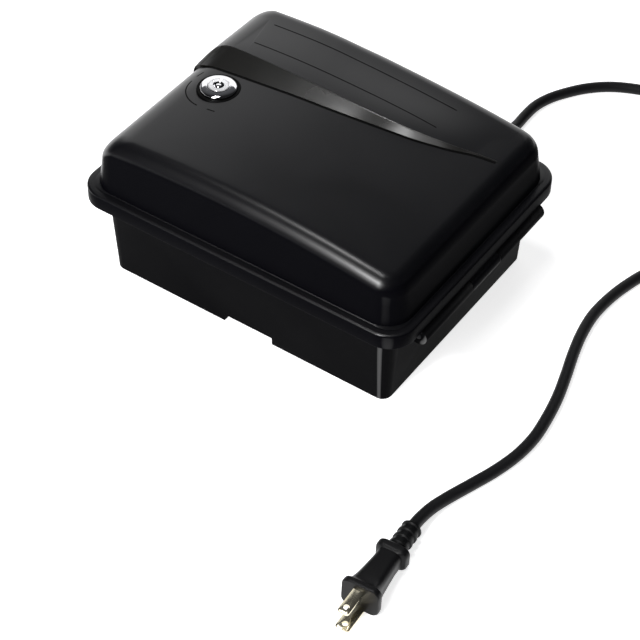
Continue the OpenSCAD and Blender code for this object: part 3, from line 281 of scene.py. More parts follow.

# What a finish has where its own dictionary doesn't say, and the corner of a piece where a painted highlight raises
# the gloss
plainPlastic = {"specular": 0.4, "sheen": 0.0, "grainScale": 1400.0, "swellScale": 60.0, "grainShare": 0.7,
                "dust": 0.0, "bump": 0.15, "reach": 0.05, "rubbed": 0.0, "rubbedWay": (-0.5, 0.866, 0.0)}
plainMetal = {"scale": 900.0, "stretch": (1.0, 0.05, 1.0), "bump": 0.1, "reach": 0.02}
# Where the painted highlight lies: faces turned close to its way, on the hinge's side of the piece
paintedHighlightCorner = {"upTo": -80.0, "facing": (0.975, 0.997)}


def newMaterial(name, constants):
    # A material with its Principled shader, whose plain numbers are set on the shader itself
    material = bpy.data.materials.new(name)
    tree = emptyTree(material)
    shader = addNode(tree, "BsdfPrincipled", constants)
    addNode(tree, "OutputMaterial", {"Surface": shader.outputs["BSDF"]})
    return material, tree, shader.inputs, addNode(tree, "TexCoord").outputs["Object"]


def shade(tree, shader, look, factor, height):
    # Colour and roughness follow one varying value, and the surface relief another
    colour = addNode(tree, "Mix", {"Factor": factor, "A": (*look["dark"], 1), "B": (*look["light"], 1)},
                     data_type="RGBA")
    relief = addNode(tree, "Bump", {"Height": height, "Strength": look["bump"], "Distance": look["reach"] * mm})
    tree.links.new(colour.outputs[2], shader["Base Color"])
    tree.links.new(rangeNode(tree, factor, changeSpan, look["roughness"]), shader["Roughness"])
    tree.links.new(relief.outputs["Normal"], shader["Normal"])


def glossWithPaintedLight(tree, look, place):
    # Faces that turn away from the gloss way get less gloss, a painted shade that darkens walls and turned faces, and
    # the corner on the hinge's side gets more gloss, a painted highlight
    normal = addNode(tree, "TexCoord").outputs["Normal"]
    # Painted shade: the gloss falls from its full value to the wall's value as a face turns from the gloss way
    gloss = rangeNode(tree, dotNode(tree, normal, look["glossWay"]), look["turnsDull"],
                      (look["wallSpecular"], look["specular"]), interpolation_type="SMOOTHSTEP")
    # Painted highlight: extra gloss in a bright line down the hinge-side corner
    along = mathNode(tree, "ABSOLUTE", dotNode(tree, normal, look["rubbedWay"]))
    across = addNode(tree, "SeparateXYZ", {"Vector": place}).outputs["X"]
    rubbed = mathNode(tree, "MULTIPLY", rangeNode(tree, along, paintedHighlightCorner["facing"], (0.0, look["rubbed"])),
                      mathNode(tree, "LESS_THAN", across, paintedHighlightCorner["upTo"] * mm))
    return mathNode(tree, "MAXIMUM", gloss, rubbed)


def mouldedPlastic(name, look):
    # Mould grain in relief, with slow changes of sheen and specks of dust in colour and gloss
    look = plainPlastic | look
    material, tree, shader, place = newMaterial(name, {
        "Metallic": 0.0, "Specular IOR Level": look["specular"], "IOR": 1.5, "Sheen Weight": look["sheen"],
        "Sheen Roughness": 0.4})
    grain = addNode(tree, "Group", {"Vector": place, "Grain Scale": look["grainScale"],
                                    "Swell Scale": look["swellScale"], "Grain Share": look["grainShare"]},
                    node_tree=grainGroup).outputs
    dust = mathNode(tree, "MULTIPLY", grain["Speck"], look["dust"])
    shade(tree, shader, look, mathNode(tree, "ADD", grain["Sheen"], dust), grain["Height"])
    # Gloss by facing, which holds painted shade on walls and a painted highlight on the hinge-side corner
    if "wallSpecular" in look:
        tree.links.new(glossWithPaintedLight(tree, look, place), shader["Specular IOR Level"])
    return material


def brushedMetal(name, look):
    # Brushed lines in relief, with slow stains in colour and gloss
    look = plainMetal | look
    material, tree, shader, place = newMaterial(name, {"Metallic": 1.0})
    lines = addNode(tree, "Group", {"Vector": place, "Scale": look["scale"], "Stretch": look["stretch"]},
                    node_tree=linesGroup).outputs
    shade(tree, shader, look, lines["Stain"], lines["Lines"])
    return material


def patterned(name, look):
    # A regular pattern in relief, whose colour is broken up by noise
    material, tree, shader, place = newMaterial(name, look["shader"])
    pattern = addNode(tree, look["kind"], {"Vector": place} | look["pattern"], **look["settings"]).outputs["Fac"]
    broken = mathNode(tree, "MULTIPLY", pattern, noiseNode(tree, place, look["noiseScale"], look["noise"]))
    shade(tree, shader, look, broken, pattern)
    return material


def clearAcrylic(name, look):
    # Clear, with faint wiping marks in its gloss
    material, tree, shader, place = newMaterial(name, look["shader"])
    lines = addNode(tree, "Group", {"Vector": place}, node_tree=linesGroup).outputs["Lines"]
    tree.links.new(rangeNode(tree, lines, wanted=look["roughness"]), shader["Roughness"])
    return material


def displayFace(name, look):
    # A grey-green field of faint pixel cells
    material, tree, shader, place = newMaterial(name, look["shader"])
    cells = addNode(tree, "TexBrick", {"Vector": place} | look["cells"], offset=0.0)
    cloud = noiseNode(tree, place, look["cloudScale"], {})
    tree.links.new(cells.outputs["Color"], shader["Base Color"])
    tree.links.new(rangeNode(tree, cloud, wanted=look["roughness"]), shader["Roughness"])
    return material


plasticFinishes = {
    # The cover, brow and case plastics hold painted light in their gloss: walls and faces turned from the gloss way
    # get less, a painted shade, and the cover's and case's hinge-side corners get more, a painted highlight
    "coverPlastic": {"dark": (0.0018, 0.0018, 0.0026), "light": (0.0034, 0.0034, 0.0046), "roughness": (0.28, 0.33),
                     "specular": 0.4, "wallSpecular": 0.006, "glossWay": (0.35, 0.0, 0.94), "turnsDull": (0.25, 0.55),
                     "rubbed": 0.12, "grainScale": 2600.0, "swellScale": 160.0, "grainShare": 0.5, "bump": 0.12,
                     "reach": 0.03, "dust": 0.5},
    # The brow is the cover's plastic in a copy with a warmer tint, more gloss and a gloss way turned towards the
    # hinge's side, so that its hinge-side end shines: a painted highlight
    "browPlastic": {"dark": (0.003, 0.0028, 0.0022), "light": (0.005, 0.0046, 0.0038), "roughness": (0.26, 0.3),
                    "specular": 0.85, "wallSpecular": 0.01, "glossWay": (-0.6, 0.0, 0.8), "turnsDull": (0.3, 0.65),
                    "grainScale": 2600.0, "grainShare": 0.4, "bump": 0.08, "reach": 0.03},
    "casePlastic": {"dark": (0.0018, 0.0018, 0.0022), "light": (0.0034, 0.0034, 0.004), "roughness": (0.42, 0.55),
                    "specular": 0.1, "wallSpecular": 0.006, "glossWay": (0.0, 0.0, 1.0), "turnsDull": (0.3, 0.8),
                    "rubbed": 0.95, "rubbedWay": (-0.26, 0.962, -0.09), "grainScale": 1500.0, "swellScale": 90.0,
                    "bump": 0.3, "dust": 0.6},
    "sealRubber": {"dark": (0.008, 0.008, 0.008), "light": (0.018, 0.018, 0.017), "roughness": (0.6, 0.75),
                   "specular": 0.3, "grainScale": 1100.0, "bump": 0.25},
    "bezelRubber": {"dark": (0.0015, 0.0015, 0.0015), "light": (0.003, 0.003, 0.003), "roughness": (0.4, 0.5),
                    "specular": 0.05, "grainScale": 2000.0, "bump": 0.1},
    # Matte dark strips: painted shade in engraved grooves, and a painted shadow in the brow's crease
    "engravedShade": {"dark": (0.0015, 0.0015, 0.0015), "light": (0.003, 0.003, 0.003), "roughness": (0.6, 0.75),
                      "specular": 0.05, "grainScale": 2200.0, "bump": 0.1},
    "leadSheath": {"dark": (0.005, 0.005, 0.006), "light": (0.009, 0.009, 0.01), "roughness": (0.42, 0.55),
                   "specular": 0.16, "grainScale": 1800.0, "bump": 0.2, "sheen": 0.05},
    "plugPlastic": {"dark": (0.004, 0.004, 0.0045), "light": (0.007, 0.007, 0.0075), "roughness": (0.34, 0.46),
                    "specular": 0.16, "grainScale": 1700.0, "bump": 0.2},
    "phenolic": {"dark": (0.01, 0.01, 0.01), "light": (0.025, 0.022, 0.02), "roughness": (0.35, 0.5)},
    "wireBlack": {"dark": (0.01, 0.01, 0.01), "light": (0.02, 0.02, 0.02), "roughness": (0.3, 0.4)},
    "panelPlastic": {"dark": (0.07, 0.074, 0.08), "light": (0.11, 0.115, 0.12), "roughness": (0.45, 0.6),
                     "bump": 0.25},
    "keyPlastic": {"dark": (0.26, 0.27, 0.28), "light": (0.36, 0.37, 0.38), "roughness": (0.4, 0.5)},
    "whiteKey": {"dark": (0.68, 0.68, 0.65), "light": (0.78, 0.78, 0.75), "roughness": (0.35, 0.45)},
    "nylon": {"dark": (0.5, 0.46, 0.36), "light": (0.66, 0.62, 0.5), "roughness": (0.4, 0.55)},
    "wireRed": {"dark": (0.3, 0.012, 0.01), "light": (0.42, 0.03, 0.025), "roughness": (0.3, 0.4)},
}
metalFinishes = {
    "lockChrome": {"dark": (0.74, 0.74, 0.76), "light": (0.86, 0.86, 0.87), "roughness": (0.04, 0.09),
                   "scale": 1500.0, "stretch": (1.0, 0.2, 1.0), "bump": 0.12, "reach": 0.01},
    "pinSteel": {"dark": (0.006, 0.006, 0.007), "light": (0.012, 0.012, 0.013), "roughness": (0.4, 0.55),
                 "scale": 700.0},
    "zincSteel": {"dark": (0.4, 0.4, 0.41), "light": (0.62, 0.62, 0.62), "roughness": (0.25, 0.42),
                  "scale": 700.0, "stretch": (1.0, 1.0, 0.2)},
    "galvanised": {"dark": (0.36, 0.36, 0.35), "light": (0.6, 0.6, 0.58), "roughness": (0.3, 0.5), "scale": 400.0},
    "brass": {"dark": (0.5, 0.36, 0.14), "light": (0.74, 0.6, 0.32), "roughness": (0.2, 0.38), "scale": 700.0},
    "bladeBrass": {"dark": (0.62, 0.55, 0.34), "light": (0.86, 0.82, 0.7), "roughness": (0.12, 0.26),
                   "scale": 1100.0, "stretch": (1.0, 0.06, 1.0), "bump": 0.25},
}
patternFinishes = {
    # Green solder mask with raised copper tracks under it
    "boardLacquer": {"shader": {"Metallic": 0.0, "Specular IOR Level": 0.5}, "kind": "TexBrick",
                     "pattern": {"Scale": 320.0, "Mortar Size": 0.12, "Mortar Smooth": 0.3},
                     "settings": {"offset": 0.35, "squash": 1.6}, "noiseScale": 180.0, "noise": {"Detail": 3.0},
                     "dark": (0.012, 0.1, 0.04), "light": (0.04, 0.24, 0.09), "roughness": (0.3, 0.4),
                     "bump": 0.3, "reach": 0.05},
    # Stack of varnished sheets with dark lines up the pile
    "laminatedSteel": {"shader": {"Metallic": 0.85}, "kind": "TexWave",
                       "pattern": {"Scale": 320.0, "Distortion": 0.4, "Detail": 2.0, "Detail Scale": 4.0},
                       "settings": {"bands_direction": "Z"}, "noiseScale": 70.0, "noise": {"Detail": 6.0},
                       "dark": (0.05, 0.045, 0.042), "light": (0.2, 0.19, 0.18), "roughness": (0.4, 0.6),
                       "bump": 0.6, "reach": 0.1},
    # Overlapping turns of yellow film tape round the coils
    "windingTape": {"shader": {"Metallic": 0.0, "Specular IOR Level": 0.5, "Coat Weight": 0.3, "Coat Roughness": 0.15},
                    "kind": "TexWave", "pattern": {"Scale": 26.0, "Distortion": 1.2, "Detail": 3.0},
                    "settings": {"bands_direction": "Y", "wave_profile": "SAW"}, "noiseScale": 260.0,
                    "noise": {"Detail": 4.0}, "dark": (0.42, 0.26, 0.02), "light": (0.66, 0.46, 0.07),
                    "roughness": (0.25, 0.4), "bump": 0.5, "reach": 0.2},
}
windowFinish = {"clearAcrylic": {
    "shader": {"Base Color": (0.93, 0.96, 0.97, 1), "Transmission Weight": 1.0, "IOR": 1.49, "Metallic": 0.0},
    "roughness": (0.01, 0.07)}}
displayFinish = {"displayFace": {
    "shader": {"Metallic": 0.0, "Specular IOR Level": 0.5}, "cloudScale": 40.0, "roughness": (0.15, 0.3),
    "cells": {"Scale": 900.0, "Mortar Size": 0.06, "Color1": (0.26, 0.32, 0.2, 1), "Color2": (0.28, 0.34, 0.22, 1),
              "Mortar": (0.2, 0.25, 0.16, 1)}}}
makers = ((mouldedPlastic, plasticFinishes), (brushedMetal, metalFinishes), (clearAcrylic, windowFinish),
          (displayFace, displayFinish), (patterned, patternFinishes))
finishes = {name: make(name, look) for make, looks in makers for name, look in looks.items()}
print("materials:", len(finishes))


def dress(piece, finish, body, slotName, *nodes):
    # Gives a piece its finish and its moving body, and hides the CAD nodes that it stands for; its slot name is not
    # used
    piece.data.materials.clear()
    piece.data.materials.append(finishes[finish])
    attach(piece, body)
    if nodes:
        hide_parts(*nodes)
    return piece


# Mains lead: the route of the three stretches, in millimetres, from the strain relief to the plug
leadFacts = {
    "diameter": 7.0,
    "clear": 0.09,
    "sides": 20,
    "routeStep": 2.0,
    "step": 4.0,
    "tail": [(-33, -108.5, 22), (-33, -116, 22), (-33, -127, 20), (-33, -138, 15.5), (-32.5, -149, 10),
             (-32, -161, 5.6), (-31.5, -173, 3.6), (-31, -184, 3.5), (-31.5, -196, 3.5), (-35, -208, 3.5),
             (-41, -219, 3.5), (-49, -230, 3.5), (-60, -240, 3.5), (-73, -247, 3.5), (-88, -252, 3.5),
             (-105, -255, 3.5), (-123, -256, 3.5), (-141, -256, 3.5), (-158, -256, 3.5)],
    "lead": [(-211, -203, 11), (-211, -194, 11), (-210, -182, 9.1), (-206, -169, 5.6), (-199, -156, 3.8),
             (-190, -143, 3.5), (-180, -130, 3.5), (-171, -116, 3.5), (-163, -101, 3.5), (-158, -85, 3.5),
             (-155, -69, 3.5), (-154, -52, 3.5), (-156, -35, 3.5), (-160, -18, 3.5), (-165, -1, 3.5),
             (-169.5, 16, 3.5), (-172.5, 33, 3.5), (-174, 49, 3.5), (-172.8, 65, 3.5), (-169, 81, 3.5),
             (-163.8, 96, 3.5), (-159, 110, 3.9), (-156, 122.5, 5.1), (-155, 134, 6.05), (-155.5, 141, 6.4)],
    "coil": {"centre": (-165, -210), "radius": 46, "pitch": 7.6, "layer": 7.5, "turns": 5.25, "climb": 0.5,
             "steps": 60},
}


def coilPath(coil, diameter):
    # A spiral that draws in by one pitch a turn, climbs a layer while it reverses, and spirals out again
    turn = np.linspace(0, coil["turns"], int(coil["steps"] * coil["turns"]) + 1)
    half = coil["turns"] / 2
    radius = coil["radius"] - coil["pitch"] * (half - np.abs(turn - half))
    angle = np.radians(-90 - 360 * turn)
    share = np.clip((turn - half + coil["climb"] / 2) / coil["climb"], 0, 1)
    return stacked(coil["centre"][0] + radius * np.cos(angle), coil["centre"][1] + radius * np.sin(angle),
                   diameter / 2 + coil["layer"] * softRise(share))


def buildLead(facts):
    # A round tube along tail, coil and lead, which are joined into one path of even steps
    tail, lead = (smoothLine(facts[stretch], facts["routeStep"]) for stretch in ("tail", "lead"))
    path = evenSteps(np.vstack([tail, coilPath(facts["coil"], facts["diameter"]), lead]), facts["step"])
    length = np.linalg.norm(np.diff(path, axis=0), axis=1).sum()
    rings = tubeRings(path, facts["diameter"] / 2 - facts["clear"], facts["sides"])
    piece = ringsMesh("mainsLead", rings, smoothAngle=60)
    dress(piece, "leadSheath", "case", "cord_rubber", "cord_tail", "cord_coil", "cord_lead")
    return piece, path, length


mainsLead, leadPath, leadLength = buildLead(leadFacts)
print("mains lead:", round(leadLength), "mm")


# Plan outlines shared by the case, the cover and their seal
def roundPlan(width, height, radius, inset=0.0, corner=14, side=10, leastRadius=0.3):
    # Rectangle with round corners, counter-clockwise from its +X side; long sides are divided evenly
    a, b, c = width / 2 - inset, height / 2 - inset, max(radius - inset, leastRadius)
    arcs = []
    for quarter, (sx, sy) in enumerate(((1, 1), (-1, 1), (-1, -1), (1, -1))):
        angle = arcSteps(corner + 1) + math.radians(90 * quarter)
        arcs.append(stacked(sx * (a - c) + c * np.cos(angle), sy * (b - c) + c * np.sin(angle)))
    share = np.linspace(0, 1, side + 1)[1:-1, None]
    sides = [arc[-1] + (following[0] - arc[-1]) * share for arc, following in zip(arcs, arcs[1:] + arcs[:1])]
    return np.vstack([part for pair in zip(arcs, sides) for part in pair])


def atHeight(plan, height):
    # A plan outline at one height, or at a height for each of its points
    return np.column_stack([plan, np.broadcast_to(height, len(plan))])


def cutWith(piece, cutters, operation="DIFFERENCE"):
    # Exact boolean with closed helper solids, which are removed again
    for cutter in cutters:
        change = piece.modifiers.new("cut", "BOOLEAN")
        change.operation, change.solver, change.object = operation, "EXACT", cutter
        keepEvaluated(piece)
        bpy.data.objects.remove(cutter)
    return piece


def keepEvaluated(piece):
    # The modifiers' result becomes the mesh itself
    graph = bpy.context.evaluated_depsgraph_get()
    graph.update()
    mesh = bpy.data.meshes.new_from_object(piece.evaluated_get(graph))
    piece.modifiers.clear()
    piece.data = mesh
    return piece


def smoothBy(piece, angle):
    # Smooth shading, except over edges sharper than the angle
    piece.data.polygons.foreach_set("use_smooth", np.ones(len(piece.data.polygons), bool))
    piece.data.set_sharp_from_angle(angle=math.radians(angle))
    return piece


def cadCopy(node, name, bevel=0.0, angle=30, flatAngle=0.8):
    # A CAD node's shape, its loose triangles merged and its edges eased a little
    piece = bpy.data.objects.new(name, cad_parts[node].data.copy())
    bpy.context.scene.collection.objects.link(piece)
    work = bmesh.new()
    work.from_mesh(piece.data)
    bmesh.ops.remove_doubles(work, verts=work.verts, dist=mergeWithin * mm)
    bmesh.ops.dissolve_limit(work, angle_limit=math.radians(flatAngle), verts=work.verts, edges=work.edges)
    work.to_mesh(piece.data)
    work.free()
    if bevel:
        ease = piece.modifiers.new("edges", "BEVEL")
        ease.width, ease.segments, ease.limit_method = bevel * mm, 2, "ANGLE"
        ease.angle_limit, ease.harden_normals = math.radians(angle), False
        keepEvaluated(piece)
    return smoothBy(piece, angle)


# Cover: skirt and flange, crowned dome with a rounded edge, hollow inside
coverShape = {
    "flange": (216.0, 170.0), "corner": 16.0, "bottom": 55.8, "top": 65.5, "skirt": 3.0, "skirtEase": 0.5,
    "lipEase": 1.4, "dome": (206.0, 160.0), "foot": 0.6, "lean": 2.5, "wall": 2.8,
    "edge": 10.0, "lockEdge": 20.5, "heartCorner": 3.5,
    "ledgeUnder": 62.5, "ledgeStep": 0.3, "ledgeBlend": 0.5, "ledge": (193.0, 147.0), "ledgeCorner": 7.5,
    "crownTop": 102.3, "crownX": 22.0, "crownRadius": 700.0, "wallRings": 5, "edgeRings": 17, "crownRings": 26,
    "easeSteps": 4, "lipSteps": 6, "footSteps": 5, "smoothAngle": 40,
    "hinge": (-105.5, 51.5), "knuckle": 5.5, "sweep": 0.4, "midKnuckle": 27.6, "knuckleGap": 0.4,
    "hingeLength": 123.0, "bore": 2.05, "webOverlap": 0.3, "lock": (67.0, 4.5), "lockHole": 12.2, "holeReach": 30.0,
}


def crownAt(x, shape=coverShape):
    # Height of the crown: an arc across the width, highest near the lock
    return shape["crownTop"] - (x - shape["crownX"]) ** 2 / (2 * shape["crownRadius"])


def heartPlan(shape):
    # Outline where the crown ends and its rounded edge begins, further in where that edge is rounder
    (width, height), lean = shape["dome"], shape["lean"]
    left, right = lean + shape["edge"] - width / 2, width / 2 - lean - shape["lockEdge"]
    high = height / 2 - lean - shape["edge"]
    return roundPlan(right - left, 2 * high, shape["heartCorner"]) + [(left + right) / 2, 0]


def domeRings(shape, inset, foot):
    # From the foot up the leaning wall, round the edge and in over the crown to its middle
    plan = lambda out: roundPlan(*shape["dome"], shape["corner"], out)
    facing = plan(0) - plan(1)
    radius = shape["edge"] + (shape["lockEdge"] - shape["edge"]) * np.clip(facing[:, 0], 0, 1) ** 2 - inset
    heart, base, edge = heartPlan(shape), plan(inset), plan(inset + shape["lean"])
    shoulder = crownAt(edge[:, 0]) - inset - radius
    rings = [atHeight(base + (edge - base) * s, foot + (shoulder - foot) * s)
             for s in np.linspace(0, 1, shape["wallRings"])[:-1]]
    for angle in arcSteps(shape["edgeRings"]):
        outline = heart + (edge - heart) * math.cos(angle)
        rings.append(atHeight(outline, crownAt(outline[:, 0]) - inset - radius * (1 - math.sin(angle))))
    for share in np.linspace(1, 0, shape["crownRings"])[1:-1]:
        outline = heart * share
        rings.append(atHeight(outline, crownAt(outline[:, 0]) - inset))
    return rings


def rodAlongY(name, centre, start, end, radius, segments=64):
    # Closed cylinder along Y for cuts and knuckles
    turn = fullTurn(segments)
    circle = stacked(centre[0] + radius * np.cos(turn), 0.0, centre[1] - radius * np.sin(turn))
    return solidRings(name, [circle + [0, y, 0] for y in (start, end)])


def boxMesh(name, low, high):
    # A block between two opposite corners
    corners = [(low[0], low[1]), (high[0], low[1]), (high[0], high[1]), (low[0], high[1])]
    return solidRings(name, [[(x, y, z) for x, y in corners] for z in (low[2], high[2])])


def buildCover(shape):
    # One skin of rings: down the hollow inside, out under the flange, round the skirt and up over the dome
    width, height = shape["flange"]
    plan = lambda inset: roundPlan(width, height, shape["corner"], inset)
    ease, lip, foot, under, skirt = (shape[k] for k in ("skirtEase", "lipEase", "foot", "ledgeUnder", "skirt"))
    ledge = roundPlan(*shape["ledge"], shape["ledgeCorner"])
    rings = domeRings(shape, shape["wall"], under + shape["ledgeBlend"])[::-1]
    rings += [atHeight(ledge, under + shape["ledgeStep"]), atHeight(ledge, under), atHeight(plan(skirt), under),
              atHeight(plan(skirt), shape["bottom"])]
    rings += [atHeight(plan(ease * (1 - math.sin(a))), shape["bottom"] + ease * (1 - math.cos(a)))
              for a in arcSteps(shape["easeSteps"])]
    rings += [atHeight(plan(lip * (1 - math.cos(a))), shape["top"] - lip * (1 - math.sin(a)))
              for a in arcSteps(shape["lipSteps"])]
    step = (width - shape["dome"][0]) / 2
    rings += [atHeight(plan(step - foot * math.cos(a)), shape["top"] + foot * (1 - math.sin(a)))
              for a in arcSteps(shape["footSteps"])[:0:-1]]
    rings += domeRings(shape, 0.0, shape["top"] + foot)
    cover = ringsMesh("coverShell", rings, shape["smoothAngle"])
    x, z = shape["hinge"]
    mid, gap, knuckle = shape["midKnuckle"] / 2, shape["knuckleGap"], shape["knuckle"]
    web = boxMesh("web", (-width / 2, -mid, z), (-width / 2 + skirt, mid, shape["bottom"] + shape["webOverlap"]))
    cutWith(cover, [web, rodAlongY("knuckle", (x, z), -mid, mid, knuckle)], "UNION")
    cuts = [rodAlongY("sweep", (x, z), side * (mid + gap / 2), side * (shape["hingeLength"] / 2 + gap),
                      knuckle + shape["sweep"]) for side in (-1, 1)]
    cuts.append(rodAlongY("bore", (x, z), -shape["hingeLength"], shape["hingeLength"], shape["bore"]))
    hole, reach = shape["lockHole"], shape["holeReach"]
    cuts.append(revolve("lockHole", [(0, 0), (hole, 0), (hole, 2 * reach), (0, 2 * reach)],
                        (*shape["lock"], crownAt(shape["lock"][0]) - reach)))
    cutWith(cover, cuts)
    smoothBy(cover, shape["smoothAngle"])
    return dress(cover, "coverPlastic", "cover", "cover_plastic", "front_cover")


coverShell = buildCover(coverShape)
print("cover shell:", len(coverShell.data.polygons), "faces")

# Brow: a band that rises from its front crease to a sharp crest and runs out over the lock side's edge
browShape = {
    "sink": 1.6,
    "stations": 240,
    "tableStep": 0.4,
    "faceSteps": 17,
    "crestWidth": 0.5,
    "crestRound": (0.05, 0.1),
    "backRun": (0.9, 0.35),
    # place along the width, front, its rise, crest, its rise
    "crown": [(-89.0, -39.9, 0.05, -40.4, 0.05), (-77.0, -36.2, 0.05, -37.2, 0.3), (-66.0, -31.2, 0.05, -33.2, 1.25),
              (-58.0, -28.3, 0.05, -30.7, 1.9), (-47.0, -24.8, 0.05, -28.0, 2.55), (-35.0, -22.3, 0.05, -25.9, 3.1),
              (-16.0, -19.1, 0.1, -24.7, 3.45), (4.0, -16.5, 0.1, -24.4, 3.75), (30.0, -14.4, 0.1, -24.6, 4.45),
              (51.5, -12.8, 0.1, -25.1, 5.1), (66.0, -12.1, 0.1, -25.7, 5.45)],
    # the same over the rounded edge, by its angle from level
    "turn": [(90.0, -11.5, 0.1, -26.4, 5.5), (76.0, -11.1, 0.3, -26.3, 5.0), (67.0, -10.9, 0.9, -27.0, 4.1),
             (57.0, -11.3, 1.3, -26.6, 3.6), (49.0, -12.2, 1.5, -24.2, 3.1), (42.0, -13.2, 1.8, -20.0, 2.6),
             (36.0, -14.0, 2.0, -16.4, 2.3), (24.0, -14.8, 1.6, -16.8, 1.9), (12.0, -16.0, 0.8, -18.0, 1.0),
             (2.0, -17.0, 0.1, -19.0, 0.2)],
}


def buildBrow(shape, cover):
    # Each station is a profile square to the crown: lip, straight face, narrow crest and steep back
    crown, turn = np.array(shape["crown"]), np.array(shape["turn"])
    angle, big = np.radians(turn[:, 0]), cover["lockEdge"]
    x = np.r_[crown[:, 0], cover["dome"][0] / 2 - cover["lean"] - big + big * np.cos(angle)]
    z = crownAt(x) - np.r_[0 * crown[:, 0], big * (1 - np.sin(angle))]
    front, lip, crest, rise = np.vstack([crown, turn])[:, 1:].T
    along = np.r_[0, np.cumsum(np.hypot(np.diff(x), np.diff(z)))]
    fine = np.linspace(0, along[-1], shape["stations"])

    def smoothed(*pair):
        table = smoothLine(stacked(along, *pair), shape["tableStep"])
        return [np.interp(fine, table[:, 0], table[:, k]) for k in (1, 2)]

    (x, z), (front, crest), (lip, rise) = smoothed(x, z), smoothed(front, crest), smoothed(lip, rise)
    normal = unit(stacked(-np.gradient(z, fine), np.gradient(x, fine)))
    share = np.linspace(0, 1, shape["faceSteps"])[:, None]
    width, (proud, drop), sunk = shape["crestWidth"], shape["crestRound"], np.full(len(fine), -shape["sink"])
    back = crest - width - shape["backRun"][0] - shape["backRun"][1] * rise
    y = np.vstack([front, front + (crest - front) * share, crest - width / 2, crest - width, back]).T
    lift = np.vstack([sunk, lip + (rise - lip) * share, rise + proud, rise - drop, sunk]).T
    rings = stacked(x[:, None] + normal[:, :1] * lift, y, z[:, None] + normal[:, 1:] * lift)
    # Its finish holds a painted highlight in its gloss
    return dress(solidRings("coverBrow", rings, smoothAngle=30), "browPlastic", "cover", "cover_plastic")


coverBrow = buildBrow(browShape, coverShape)
print("brow:", len(coverBrow.data.polygons), "faces")

# Raised field of the cover behind the brow, from the brow's crest over both rounded edges
fieldShape = {
    "thick": 1.2,
    "tableStep": 0.5,
    "behind": 0.82,
    "under": 0.3,
    "tuck": (0.7, 0.7),
    "start": -86.0,
    "lowPlace": [-86.0, -37.0, -23.0, -10.0, 4.0, 17.0, 32.0, 46.0, 60.0, 76.0],
    "lowCrown": [0.06, 0.2, 0.45, 0.7, 1.2, 1.7, 2.6, 3.1, 3.3, 3.5],
    "lowEdge": [0.06, 0.08, 0.2, 0.4, 0.8, 0.95, 1.6, 2.1, 2.3, 2.6],
    "sideCrown": (3.5, 5.2),
    "sideEdge": (2.2, 2.25),
    "bend": [0.0, 12.0, 35.0, 90.0],
    "bendShare": [0.03, 0.45, 1.0, 1.0],
    "foot": 74.0,
    "footOut": 0.1,
    "crestReach": 26.0,
    "followFrom": -45.0,
    # where the crest ends over the turned corner and over the lock's side
    "crestTurn": (66.0, 71.0),
    "crestEnd": 0.6,
    # how straight the fall from the crest is, and how far the crown's rise holds round the edge
    "straightFall": 0.35,
    "crownHold": 1.6,
    "lowSteps": 64, "turnSteps": 19, "sideSteps": 28, "flatSteps": 21, "edgeSteps": 25,
}


def sheetMesh(name, outer, inner, smoothAngle=30):
    # Closed skin between two grids of equal shape, joined round their borders
    rows, columns = outer.shape[:2]
    index = np.arange(rows * columns).reshape(rows, columns)
    border = np.r_[index[0, :-1], index[:-1, -1], index[-1, :0:-1], index[:0:-1, 0]]
    following, under = np.roll(border, -1), rows * columns
    quads = gridQuads(rows, columns, False)
    faces = np.vstack([quads, quads[:, ::-1] + under, stacked(border, following, following + under, border + under)])
    points = np.vstack([outer.reshape(-1, 3), inner.reshape(-1, 3)])
    return fixNormals(meshFrom(name, points, faces.tolist(), smoothAngle))


def fieldColumns(shape, cover, crestEnd):
    # Plan points of each column: the crown's end, the edge's foot, its crest point and its two rises
    half, lean, big, small = cover["dome"][0] / 2, cover["lean"], cover["lockEdge"], cover["edge"]
    depth, corner, bigCorner = cover["dome"][1] / 2, cover["heartCorner"], cover["corner"]
    outer, heartX, heartY = bigCorner - lean, half - lean - big, depth - lean - small
    low = np.linspace(shape["start"], heartX - corner, shape["lowSteps"])
    turn = arcSteps(shape["turnSteps"])[1:]
    side = np.linspace(corner - heartY, crestEnd - shape["behind"], shape["sideSteps"])[1:]
    stretch = (low + half - bigCorner) / (heartX - corner + half - bigCorner)
    straight = bigCorner - half + stretch * 2 * (half - bigCorner)
    heart = np.vstack([
        stacked(low, -heartY),
        stacked(heartX - corner + corner * np.sin(turn), corner - heartY - corner * np.cos(turn)),
        stacked(heartX, side)])
    edge = np.vstack([
        stacked(straight, lean - depth),
        stacked(half - bigCorner + outer * np.sin(turn), bigCorner - depth - outer * np.cos(turn)),
        stacked(half - lean, side)])
    toSide = np.r_[0 * low, np.sin(turn) ** 2, 1 + 0 * side]
    first, last = shape["crestTurn"]
    crestX = np.r_[np.interp(low, (low[0], low[-1]), (low[0], first)), first + (last - first) * np.sin(turn) ** 2,
                   np.linspace(last, heartX - shape["crestEnd"], len(side))]
    along = np.r_[0 * low, 0 * turn, np.linspace(0, 1, len(side))]

    def riseOf(lowName, sideName):
        near = np.interp(heart[:, 0], shape["lowPlace"], shape[lowName])
        return near + (np.interp(along, (0, 1), shape[sideName]) - near) * toSide

    radius = small + (big - small) * toSide
    return heart, edge, crestX, radius, riseOf("lowCrown", "sideCrown"), riseOf("lowEdge", "sideEdge")


